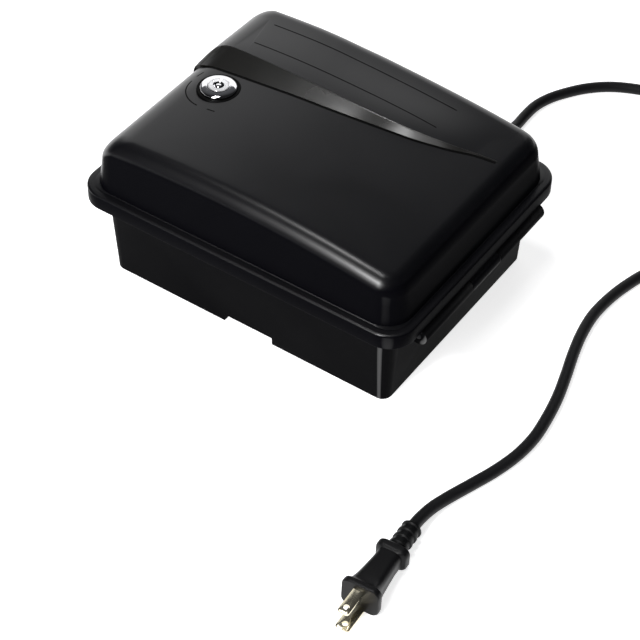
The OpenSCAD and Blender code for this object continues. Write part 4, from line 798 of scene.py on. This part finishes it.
def buildField(shape, brow, cover):
    # A grid of columns that run from the brow's crest over the crown and down the rounded edge
    crest, turn = np.array(brow["crown"])[:, (0, 3, 4)], np.array(brow["turn"])[::-1]
    turnAngle, behind, under = turn[:, 0], shape["behind"], shape["under"]
    last = [cover["dome"][0] / 2 - cover["lean"] - cover["lockEdge"], *turn[-1, 3:]]
    heart, edge, crestX, radius, crown, rise = fieldColumns(shape, cover, last[1])
    fine = smoothLine(np.vstack([crest, last]), shape["tableStep"])
    crestY = np.interp(crestX, fine[:, 0], fine[:, 1]) - behind
    crestRise = np.interp(crestX, fine[:, 0], fine[:, 2]) - under
    # The flat part, whose first row is tucked under the brow's crest
    share = np.linspace(0, 1, shape["flatSteps"])[:, None]
    fall = shape["straightFall"] * share + (1 - shape["straightFall"]) * softRise(share)
    tuckForward, tuckDown = shape["tuck"]
    flatX = np.vstack([crestX, crestX + (heart[:, 0] - crestX) * share])
    flatY = np.vstack([crestY + tuckForward, crestY + (heart[:, 1] - crestY) * share])
    flatRise = np.vstack([crestRise - tuckDown, crestRise + (crown - crestRise) * fall])
    # The part over the rounded edges, which follows the brow's crest where the two run side by side
    angle = np.radians(np.linspace(90, 0, shape["edgeSteps"]))[1:, None]
    out = unit(edge - heart)
    bend = heart + (edge - heart) * np.cos(angle)[..., None]
    follow = np.clip((bend[..., 1] - shape["followFrom"]) / (behind - shape["crestReach"] - shape["followFrom"]), 0, 1)
    follow = follow ** 2 * (bend[..., 0] > 0)
    bend[..., 1] += follow * (np.interp(np.degrees(angle), turnAngle, turn[:, 3]) - last[1])
    high = crownAt(bend[..., 0]) - radius * (1 - np.sin(angle))
    hold = shape["crownHold"]
    swell = rise + (crown - rise) * np.clip(np.sin(angle) * hold + 1 - hold, 0, 1) ** 2
    swell = swell * np.interp(np.degrees(angle), shape["bend"], shape["bendShare"])
    swell = swell + (np.interp(np.degrees(angle), turnAngle, turn[:, 4]) - under - swell) * follow ** 2

    def skin(drop):
        flat = stacked(flatX, flatY, crownAt(flatX) + flatRise - drop)
        reach = (swell - drop) * np.cos(angle)
        over = stacked(bend[..., 0] + out[:, 0] * reach, bend[..., 1] + out[:, 1] * reach,
                       high + (swell - drop) * np.sin(angle))
        foot = stacked(over[-1, :, 0] + out[:, 0] * shape["footOut"], over[-1, :, 1] + out[:, 1] * shape["footOut"],
                       shape["foot"] - drop)
        return np.vstack([flat, over, foot[None]]).transpose(1, 0, 2)

    field = sheetMesh("coverField", skin(0.0), skin(shape["thick"]), smoothAngle=28)
    return dress(field, "coverPlastic", "cover", "cover_plastic")


coverField = buildField(fieldShape, browShape, coverShape)
print("raised field:", len(coverField.data.polygons), "faces")

# Engraved lines, each a dark matte strip standing in as painted shade for its groove: two plain rules on the raised
# field, an arc and two strokes round the lock
lineShape = {
    "width": 0.75, "creaseWidth": 2.0, "creaseOff": 0.8, "deep": 0.5, "proud": 0.03, "above": 130.0, "step": 0.8,
    "rows": 4,
    "rules": [((-51.0, -59.2), (74.0, -58.8)), ((-50.5, -38.6), (72.5, -37.2))],
    "creaseEnd": [(80.0, -11.5), (85.0, -11.1), (90.0, -11.0)],
    "arcRadius": 18.6, "arc": (2.0, 86.0, 24),
    "strokes": [((84.6, -4.6), (85.8, 0.3)), ((61.5, 22.9), (56.5, 22.4))],
}


def engrave(name, route, target, shape):
    # A dark matte strip laid over the cover, dropped onto its surface and given depth, as painted shade in a groove
    route = smoothLine(stacked(*np.transpose(route), shape["above"]), shape["step"])
    way = unit(np.gradient(route[:, :2], axis=0))
    across = stacked(-way[:, 1], way[:, 0], 0.0)
    strip = route[:, None] + across[:, None] * (np.linspace(-0.5, 0.5, shape["rows"]) * shape["width"])[:, None]
    loose = meshFrom(name + "Strip", strip, gridQuads(*strip.shape[:2], False).tolist())
    drop = loose.modifiers.new("drop", "SHRINKWRAP")
    drop.wrap_method, drop.target = "PROJECT", target
    drop.use_project_x = drop.use_project_y = drop.use_positive_direction = False
    drop.use_project_z = drop.use_negative_direction = True
    keepEvaluated(loose)
    laid = np.empty(strip.size)
    loose.data.vertices.foreach_get("co", laid)
    bpy.data.objects.remove(loose)
    laid = laid.reshape(strip.shape) / mm
    line = sheetMesh(name, laid + [0, 0, shape["proud"]], laid - [0, 0, shape["deep"]], smoothAngle=40)
    return dress(line, "engravedShade", "cover", "cover_plastic")


# A painted shadow: a wide dark strip along the brow's front crease and on over the lock side's rounded edge, where
# shade falls at the brow's foot
crease = np.vstack([np.array(browShape["crown"])[:, :2], lineShape["creaseEnd"]]) + [0, lineShape["creaseOff"]]
engrave("browCreasePaintedShadow", crease, coverShell, lineShape | {"width": lineShape["creaseWidth"]})
for letter, rule in zip("AB", lineShape["rules"]):
    engrave("fieldRule" + letter, rule, coverField, lineShape)
arcTurn = np.radians(np.linspace(*lineShape["arc"]))
lockArc = stacked(np.cos(arcTurn), np.sin(arcTurn)) * lineShape["arcRadius"] + coverShape["lock"]
engrave("lockArc", lockArc, coverShell, lineShape)
for letter, stroke in zip("AB", lineShape["strokes"]):
    engrave("lockStroke" + letter, stroke, coverShell, lineShape)
print("engraved lines ready")

# Case: the CAD shape with its edges eased, its own finish, and the pieces that it carries
dress(cadCopy("rear_case", "caseBody", bevel=0.35, angle=28), "casePlastic", "case", "case_plastic", "rear_case")
innerPieces = [
    # node, finish, body, slot, bevel
    ("cover_gasket", "sealRubber", "cover", "gasket_rubber", 0.35),
    ("hinge_pin", "pinSteel", "case", "screw_steel", 0.3),
    ("lock_nut", "zincSteel", "cover", "screw_steel", 0.3),
    ("lock_cam", "zincSteel", "lock", "bracket_steel", 0.25),
    ("cam_screw", "zincSteel", "lock", "screw_steel", 0.15),
    ("strike_bracket", "galvanised", "case", "bracket_steel", 0.3),
    ("strike_screws", "zincSteel", "case", "screw_steel", 0.15),
    ("inner_panel", "panelPlastic", "case", "panel_plastic", 0.3),
    ("panel_screws", "zincSteel", "case", "screw_steel", 0.15),
    ("display_window", "clearAcrylic", "case", "window_clear", 0.15),
    ("display_module", "displayFace", "case", "display_glass", 0.2),
    ("circuit_board", "boardLacquer", "case", "board_resin", 0.1),
    ("board_screws", "zincSteel", "case", "screw_steel", 0.15),
    ("tact_switches", "phenolic", "case", "switch_plastic", 0.2),
    ("button_menu", "keyPlastic", "menu_button", "button_plastic", 0.35),
    ("button_minus", "keyPlastic", "minus_button", "button_plastic", 0.35),
    ("button_plus", "keyPlastic", "plus_button", "button_plastic", 0.35),
    ("button_enter", "keyPlastic", "enter_button", "button_plastic", 0.35),
    ("breaker_body", "phenolic", "case", "switch_plastic", 0.3),
    ("breaker_nut", "zincSteel", "case", "screw_steel", 0.25),
    ("breaker_button", "whiteKey", "breaker_popper", "breaker_white", 0.4),
    ("transformer_core", "laminatedSteel", "case", "core_steel", 0.2),
    ("transformer_bobbin", "nylon", "case", "bobbin_plastic", 0.2),
    ("transformer_winding", "windingTape", "case", "winding_tape", 0.6),
    ("transformer_bolts", "zincSteel", "case", "screw_steel", 0.2),
    ("terminal_block", "phenolic", "case", "switch_plastic", 0.25),
    ("terminal_plates", "brass", "case", "terminal_brass", 0.15),
    ("terminal_screws", "zincSteel", "case", "screw_steel", 0.15),
    ("terminal_mounting_screws", "zincSteel", "case", "screw_steel", 0.15),
    ("supply_leads", "wireBlack", "case", "lead_black", 0.0),
    ("output_leads", "wireRed", "case", "lead_red", 0.0),
    ("cable_grommets", "sealRubber", "case", "gasket_rubber", 0.25),
]


def camelName(node):
    # A node's words joined, each after the first with a capital
    head, *rest = node.split("_")
    return head + "".join(word.capitalize() for word in rest)


for node, finish, body, slotName, bevel in innerPieces:
    dress(cadCopy(node, camelName(node), bevel), finish, body, slotName, node)
print("inner pieces:", len(innerPieces))

# Lock: rubber washer, chromed head that swells from a thin edge, and the turning plug with its ring slot
lockShape = {
    "bezelRadius": 12.8, "bezelProud": 0.05, "bezelThick": 0.9, "bezelSunk": 1.0, "bore": 9.3, "dish": (0.4, 0.35),
    "headRadius": 10.5, "headEase": (0.25, 0.2), "edge": 0.35, "faceRadius": 6.4, "faceEase": 0.4, "rise": 2.0,
    "bulge": 0.85, "shoulderDrop": 0.25, "barrel": 9.2, "length": 24.0, "threadEnd": 1.5,
    "plugRadius": 5.6, "plugGap": 0.05, "plugEase": 0.06, "camClear": 0.3,
    "ringOut": 2.95, "ringIn": 1.8, "ringDeep": 5.0, "ringEase": 0.2, "coreEase": (0.3, 0.12, 0.5),
    "notchFrom": (-0.4, -0.7, -1.2), "notchTo": (0.6, 0.7, 1.0), "dotAt": (4.7, -1.2), "dot": (0.55, 0.4, 1.0),
    "rimSteps": 7, "bulgeSteps": 12, "smoothAngle": 30,
}


def buildLock(shape):
    # Profiles run as (radius, height) round closed outlines; bulges are quarter arcs
    x, y = coverShape["lock"]
    thick, outer, bore, barrel, head, face = (
        shape[k] for k in ("bezelThick", "bezelRadius", "bore", "barrel", "headRadius", "faceRadius"))
    seat = crownAt(x) + shape["bezelProud"]
    top, low, sunk = seat + thick, crownAt(x) - shape["length"], seat - shape["bezelSunk"]
    rim = [(outer + thick * (math.cos(a) - 1), top + thick * (math.sin(a) - 1))
           for a in arcSteps(shape["rimSteps"])]
    dished = top - shape["dish"][1]
    profile = [(bore, sunk), (outer, sunk), *rim, (head - shape["dish"][0], dished), (bore, dished)]
    bezel = closeRevolve(revolve("lockBezel", profile, (x, y, 0), segments=128), shape["smoothAngle"])
    dress(bezel, "bezelRubber", "cover", "bezel_rubber", "lock_bezel")
    bulge = shape["rise"] - shape["edge"] - shape["shoulderDrop"]
    shoulder = [(face + (head - face) * math.cos(a) ** shape["bulge"], top + shape["edge"] + bulge * math.sin(a))
                for a in arcSteps(shape["bulgeSteps"])]
    front, gap, inner = top + shape["rise"], shape["plugGap"], shape["plugRadius"]
    profile = [(head - shape["headEase"][0], top), (head, top + shape["headEase"][1]), *shoulder,
               (face - shape["faceEase"], front), (inner + 2 * gap, front), (inner + gap, front - shape["plugEase"]),
               (inner + gap, low), (barrel, low), *threadProfile(barrel, low, seat - shape["threadEnd"]),
               (barrel, top)]
    housing = closeRevolve(revolve("lockHousing", profile, (x, y, 0), segments=128), shape["smoothAngle"])
    dress(housing, "lockChrome", "cover", "lock_chrome", "lock_housing")
    foot, ease, ringOut, ringIn = low - shape["camClear"], shape["plugEase"], shape["ringOut"], shape["ringIn"]
    deep, (coreIn, coreLow, coreDeep) = front - shape["ringDeep"], shape["coreEase"]
    plug = revolve("lockPlug", [
        (0, foot), (inner, foot), (inner, front - ease), (inner - ease, front), (ringOut + shape["ringEase"], front),
        (ringOut, front - shape["ringEase"]), (ringOut, deep), (ringIn, deep), (ringIn, front - coreDeep),
        (ringIn - coreIn, front - coreLow), (0, front)], (x, y, 0), segments=96)
    slot = np.array([x + ringOut, y, front])
    radius, below, above = shape["dot"]
    dot = revolve("dot", [(0, -below), (radius, -below), (radius, above), (0, above)],
                  (x + shape["dotAt"][0], y + shape["dotAt"][1], front), segments=24)
    notch = boxMesh("notch", slot + shape["notchFrom"], slot + shape["notchTo"])
    smoothBy(cutWith(plug, [notch, dot]), shape["smoothAngle"])
    dress(plug, "lockChrome", "lock", "lock_chrome", "lock_plug")


def threadProfile(radius, start, end, pitch=1.4, depth=0.55, begin=0.3):
    # Ridges of the barrel's thread as rings up its side
    heights = start + pitch * np.arange(2 * int((end - start) / pitch)) / 2 + begin
    return [(radius - depth * (k % 2), height) for k, height in enumerate(heights)]


def closeRevolve(piece, smoothAngle):
    # A profile that never meets the axis is a ring: its end caps go and its first and last circles join
    work = bmesh.new()
    work.from_mesh(piece.data)
    work.verts.ensure_lookup_table()
    poles = sorted(work.verts, key=lambda v: len(v.link_edges))[-2:]
    bmesh.ops.delete(work, geom=poles, context="VERTS")
    edges = [edge for edge in work.edges if edge.is_boundary]
    bmesh.ops.bridge_loops(work, edges=edges)
    bmesh.ops.recalc_face_normals(work, faces=work.faces)
    work.to_mesh(piece.data)
    work.free()
    return smoothBy(piece, smoothAngle)


buildLock(lockShape)
print("lock ready")

# Strain relief, plug and blades
reliefShape = {
    "exit": (-33.0, 22.0), "face": -77.43, "flange": 10.5, "flangeThick": 3.0, "flangeEase": (0.4, 1.2),
    "length": 28.0, "root": 7.2, "rootOut": 0.8, "tip": 4.6, "ribs": 6, "ribRise": 0.8, "ribStart": -0.5,
    "ribSharp": 1.6, "rings": 97, "stub": 8.0, "inside": -70.13,
}
plugShape = {
    "at": (-155.5, 141.0, 6.4), "before": (-155.0, 134.0, 6.05), "sleeve": 18.0, "sleeveSunk": 1.0, "length": 36.0,
    "sleeveRadius": 5.6, "ribs": 4, "ribRise": 0.8, "ribStart": 1.2, "ribSharp": 1.8, "rings": 81, "corner": 4.0,
    "cornerSpare": 0.5, "sleeveSides": 64, "cornerSteps": 8, "sideSteps": 4, "smoothAngle": 32,
    "stations": [(0.0, 17.0, 13.0), (0.02, 18.0, 14.0), (0.1, 18.0, 14.0), (0.125, 17.2, 13.4), (0.15, 13.4, 12.2),
                 (0.3, 13.4, 12.2), (0.5, 14.4, 12.8), (0.7, 15.6, 13.6), (0.84, 17.4, 14.8), (0.885, 19.4, 16.4),
                 (0.905, 21.3, 17.6), (0.93, 21.5, 17.8), (0.98, 21.5, 17.8), (1.0, 20.7, 17.0)],
    "bladePitch": 12.7, "bladeLength": 17.5, "bladeThick": 1.5, "wide": 7.9, "narrow": 6.35, "bladeCorner": 1.4,
    "bladeEase": [(0.0, 0.5), (0.12, 0.12), (0.35, 0.0)],
    "holeRadius": 1.6, "holeInset": 4.0, "holeSides": 40, "root": 5.5, "bladeSteps": 6, "bladeSmooth": 40,
}


def ribSwell(shape, share):
    # Evenly spaced ribs along a sleeve, from 0 between them to 1 on top
    wave = np.sin(share * shape["ribs"] * 2 * math.pi + shape["ribStart"])
    return np.clip(wave * shape["ribSharp"], 0, 1)


def buildRelief(shape):
    # A flange, then ribs round a taper; each rib is a rounded swell of the profile
    share = np.linspace(0, 1, shape["rings"])
    taper = shape["root"] + (shape["tip"] - shape["root"]) * share + ribSwell(shape, share) * shape["ribRise"]
    taper[-1] = shape["tip"]
    start, flange, (small, large) = shape["face"] - shape["flangeThick"], shape["flange"], shape["flangeEase"]
    profile = [(0.0, shape["inside"]), (shape["stub"], shape["inside"]), (shape["stub"], shape["face"]),
               (flange, shape["face"]), (flange, start + large), (flange - small, start + small),
               (flange - large, start), (shape["root"] + shape["rootOut"], start)]
    profile += [(radius, start - shape["length"] * s) for radius, s in zip(taper, share)]
    profile += [(0.0, start - shape["length"])]
    piece = revolve("cordRelief", profile, (shape["exit"][0], 0, shape["exit"][1]), axis="y", segments=72)
    dress(piece, "sealRubber", "case", "cord_rubber", "cord_relief")


def plugFrame(shape):
    # Axes of the plug: its way out of the lead, level sideways, and up
    way = unit(np.subtract(shape["at"], shape["before"]))
    side = unit(np.cross(way, [0, 0, 1]))
    return np.array(shape["at"]), side, way, np.cross(side, way)


def inPlug(shape, points):
    # Points given as across, along and up in the plug's own axes
    at, side, way, lift = plugFrame(shape)
    points = np.asarray(points, float)
    return at + points[..., :1] * side + points[..., 1:2] * way + points[..., 2:] * lift


def buildPlug(shape):
    # A ribbed round sleeve, joined to round-cornered rectangles whose size changes along the body
    share = np.linspace(0, 1, shape["rings"])[:, None]
    radius = shape["sleeveRadius"] - shape["ribRise"] * (1 - ribSwell(shape, share))
    turn = fullTurn(shape["sleeveSides"])
    sleeve = stacked(radius * np.cos(turn), share * (shape["sleeve"] + shape["sleeveSunk"]), radius * np.sin(turn))
    rings = []
    for along, width, height in shape["stations"]:
        corner = min(shape["corner"], height / 2 - shape["cornerSpare"])
        plan = roundPlan(width, height, corner, 0.0, shape["cornerSteps"], shape["sideSteps"])
        rings.append(stacked(plan[:, 0], shape["sleeve"] + shape["length"] * along, plan[:, 1]))
    sleeve = solidRings("plugSleeve", inPlug(shape, sleeve))
    body = solidRings("plugBody", inPlug(shape, rings), smoothAngle=30)
    smoothBy(cutWith(body, [sleeve], "UNION"), shape["smoothAngle"])
    dress(body, "plugPlastic", "case", "plug_rubber", "plug_body")


def buildBlade(name, node, width, side, shape):
    # A flat blade with rounded edges and tip, and a drilled hole near its end
    face = shape["sleeve"] + shape["length"]
    length, thick, middle = shape["bladeLength"] + shape["root"], shape["bladeThick"], side * shape["bladePitch"] / 2
    plan = roundPlan(width, length, shape["bladeCorner"], 0.0, shape["bladeSteps"], shape["bladeSteps"])
    plan, centre = plan - plan.mean(0), plan.mean(0) + [0, face - shape["root"] + length / 2]
    levels = [(up - thick / 2, inset) for up, inset in shape["bladeEase"]]
    levels += [(-z, inset) for z, inset in levels[::-1]]
    rings = [atHeight(plan * [1 - inset / width, 1 - inset / length] + centre, middle + z) for z, inset in levels]
    blade = solidRings(name, inPlug(shape, rings), smoothAngle=50)
    hole, radius = face + shape["bladeLength"] - shape["holeInset"], shape["holeRadius"]
    turn = fullTurn(shape["holeSides"])
    drill = [stacked(radius * np.cos(turn), hole + radius * np.sin(turn), middle + z) for z in (-thick, thick)]
    smoothBy(cutWith(blade, [solidRings("drill", inPlug(shape, drill))]), shape["bladeSmooth"])
    dress(blade, "bladeBrass", "case", "blade_brass", node)


buildRelief(reliefShape)
buildPlug(plugShape)
buildBlade("bladeUpper", "blade_upper", plugShape["narrow"], 1, plugShape)
buildBlade("bladeLower", "blade_lower", plugShape["wide"], -1, plugShape)
print("plug ready")


# Stage: pale floor, white backdrop for the camera, soft studio lamps
stageLook = {
    "floorSize": 6.0,
    "floorColour": (0.86, 0.86, 0.87),
    "floorGlow": 0.78,
    "worldColour": (0.92, 0.94, 1.0),
    # The sky is brighter behind the box's far corner than on the camera's side
    "worldAim": (0.62, -0.75, 0.1),
    "worldTurn": (0.25, 0.8),
    "worldStrength": (0.015, 0.1),
    "lamps": [
        {"name": "backLeft", "aim": (0.465, -0.806, 0.36), "reach": 1.8, "size": (2.2, 1.28), "power": 10.5},
        {"name": "overhead", "aim": (0.14, 0.02, 1.0), "reach": 1.8, "size": (0.3, 0.4), "power": 8},
        {"name": "fillet", "aim": (0.0, 0.77, 0.6), "reach": 1.5, "size": (0.45, 1.0), "power": 15},
        {"name": "spark", "aim": (0.03, 0.74, 0.65), "reach": 1.5, "size": (0.12, 0.16), "power": 8},
    ],
}


def whiteFor(tree, glow):
    # Emission that only camera, mirror and glass rays see, added to what the surface gives already
    rays = addNode(tree, "LightPath").outputs
    seen = mathNode(tree, "MAXIMUM", rays["Is Camera Ray"], rays["Is Glossy Ray"])
    seen = mathNode(tree, "MAXIMUM", seen, rays["Is Transmission Ray"])
    return addNode(tree, "Emission", {"Color": (1, 1, 1, 1), "Strength": mathNode(tree, "MULTIPLY", seen, glow)})


def buildFloor(look):
    # A level square, matte under the lamps and white to the camera
    half = look["floorSize"] / 2 / mm
    floor = meshFrom("floor", [(-half, -half, 0), (half, -half, 0), (half, half, 0), (-half, half, 0)],
                     [(0, 1, 2, 3)])
    material = bpy.data.materials.new("paleFloor")
    tree = emptyTree(material)
    matte = addNode(tree, "BsdfDiffuse", {"Color": (*look["floorColour"], 1)})
    both = addNode(tree, "AddShader", {0: matte.outputs["BSDF"],
                                       1: whiteFor(tree, look["floorGlow"]).outputs["Emission"]})
    addNode(tree, "OutputMaterial", {"Surface": both.outputs["Shader"]})
    floor.data.materials.append(material)


def buildWorld(look):
    # A sky that brightens towards its aim, and that the camera sees pale
    world = bpy.data.worlds.new("studio")
    tree = emptyTree(world)
    toward = dotNode(tree, addNode(tree, "TexCoord").outputs["Generated"], Vector(look["worldAim"]).normalized())
    dim = rangeNode(tree, toward, look["worldTurn"], look["worldStrength"])
    strength = rangeNode(tree, addNode(tree, "LightPath").outputs["Is Camera Ray"], wanted=(dim, 1.0))
    sky = addNode(tree, "Background", {"Color": (*look["worldColour"], 1), "Strength": strength})
    addNode(tree, "OutputWorld", {"Surface": sky.outputs["Background"]})
    bpy.context.scene.world = world


def buildLamps(lamps):
    # Each lamp stands its reach out along its aim and faces the middle
    for lamp in lamps:
        data = bpy.data.lights.new(lamp["name"], "AREA")
        data.shape = "RECTANGLE"
        data.size, data.size_y = lamp["size"]
        data.energy = lamp["power"]
        aim = Vector(lamp["aim"]).normalized()
        light = bpy.data.objects.new(lamp["name"], data)
        light.matrix_world = Matrix.Translation(aim * lamp["reach"]) @ aim.to_track_quat("Z", "Y").to_matrix().to_4x4()
        bpy.context.scene.collection.objects.link(light)


buildFloor(stageLook)
buildWorld(stageLook)
buildLamps(stageLook["lamps"])
bpy.context.scene.view_settings.view_transform = "Standard"
print("stage and lamps ready")
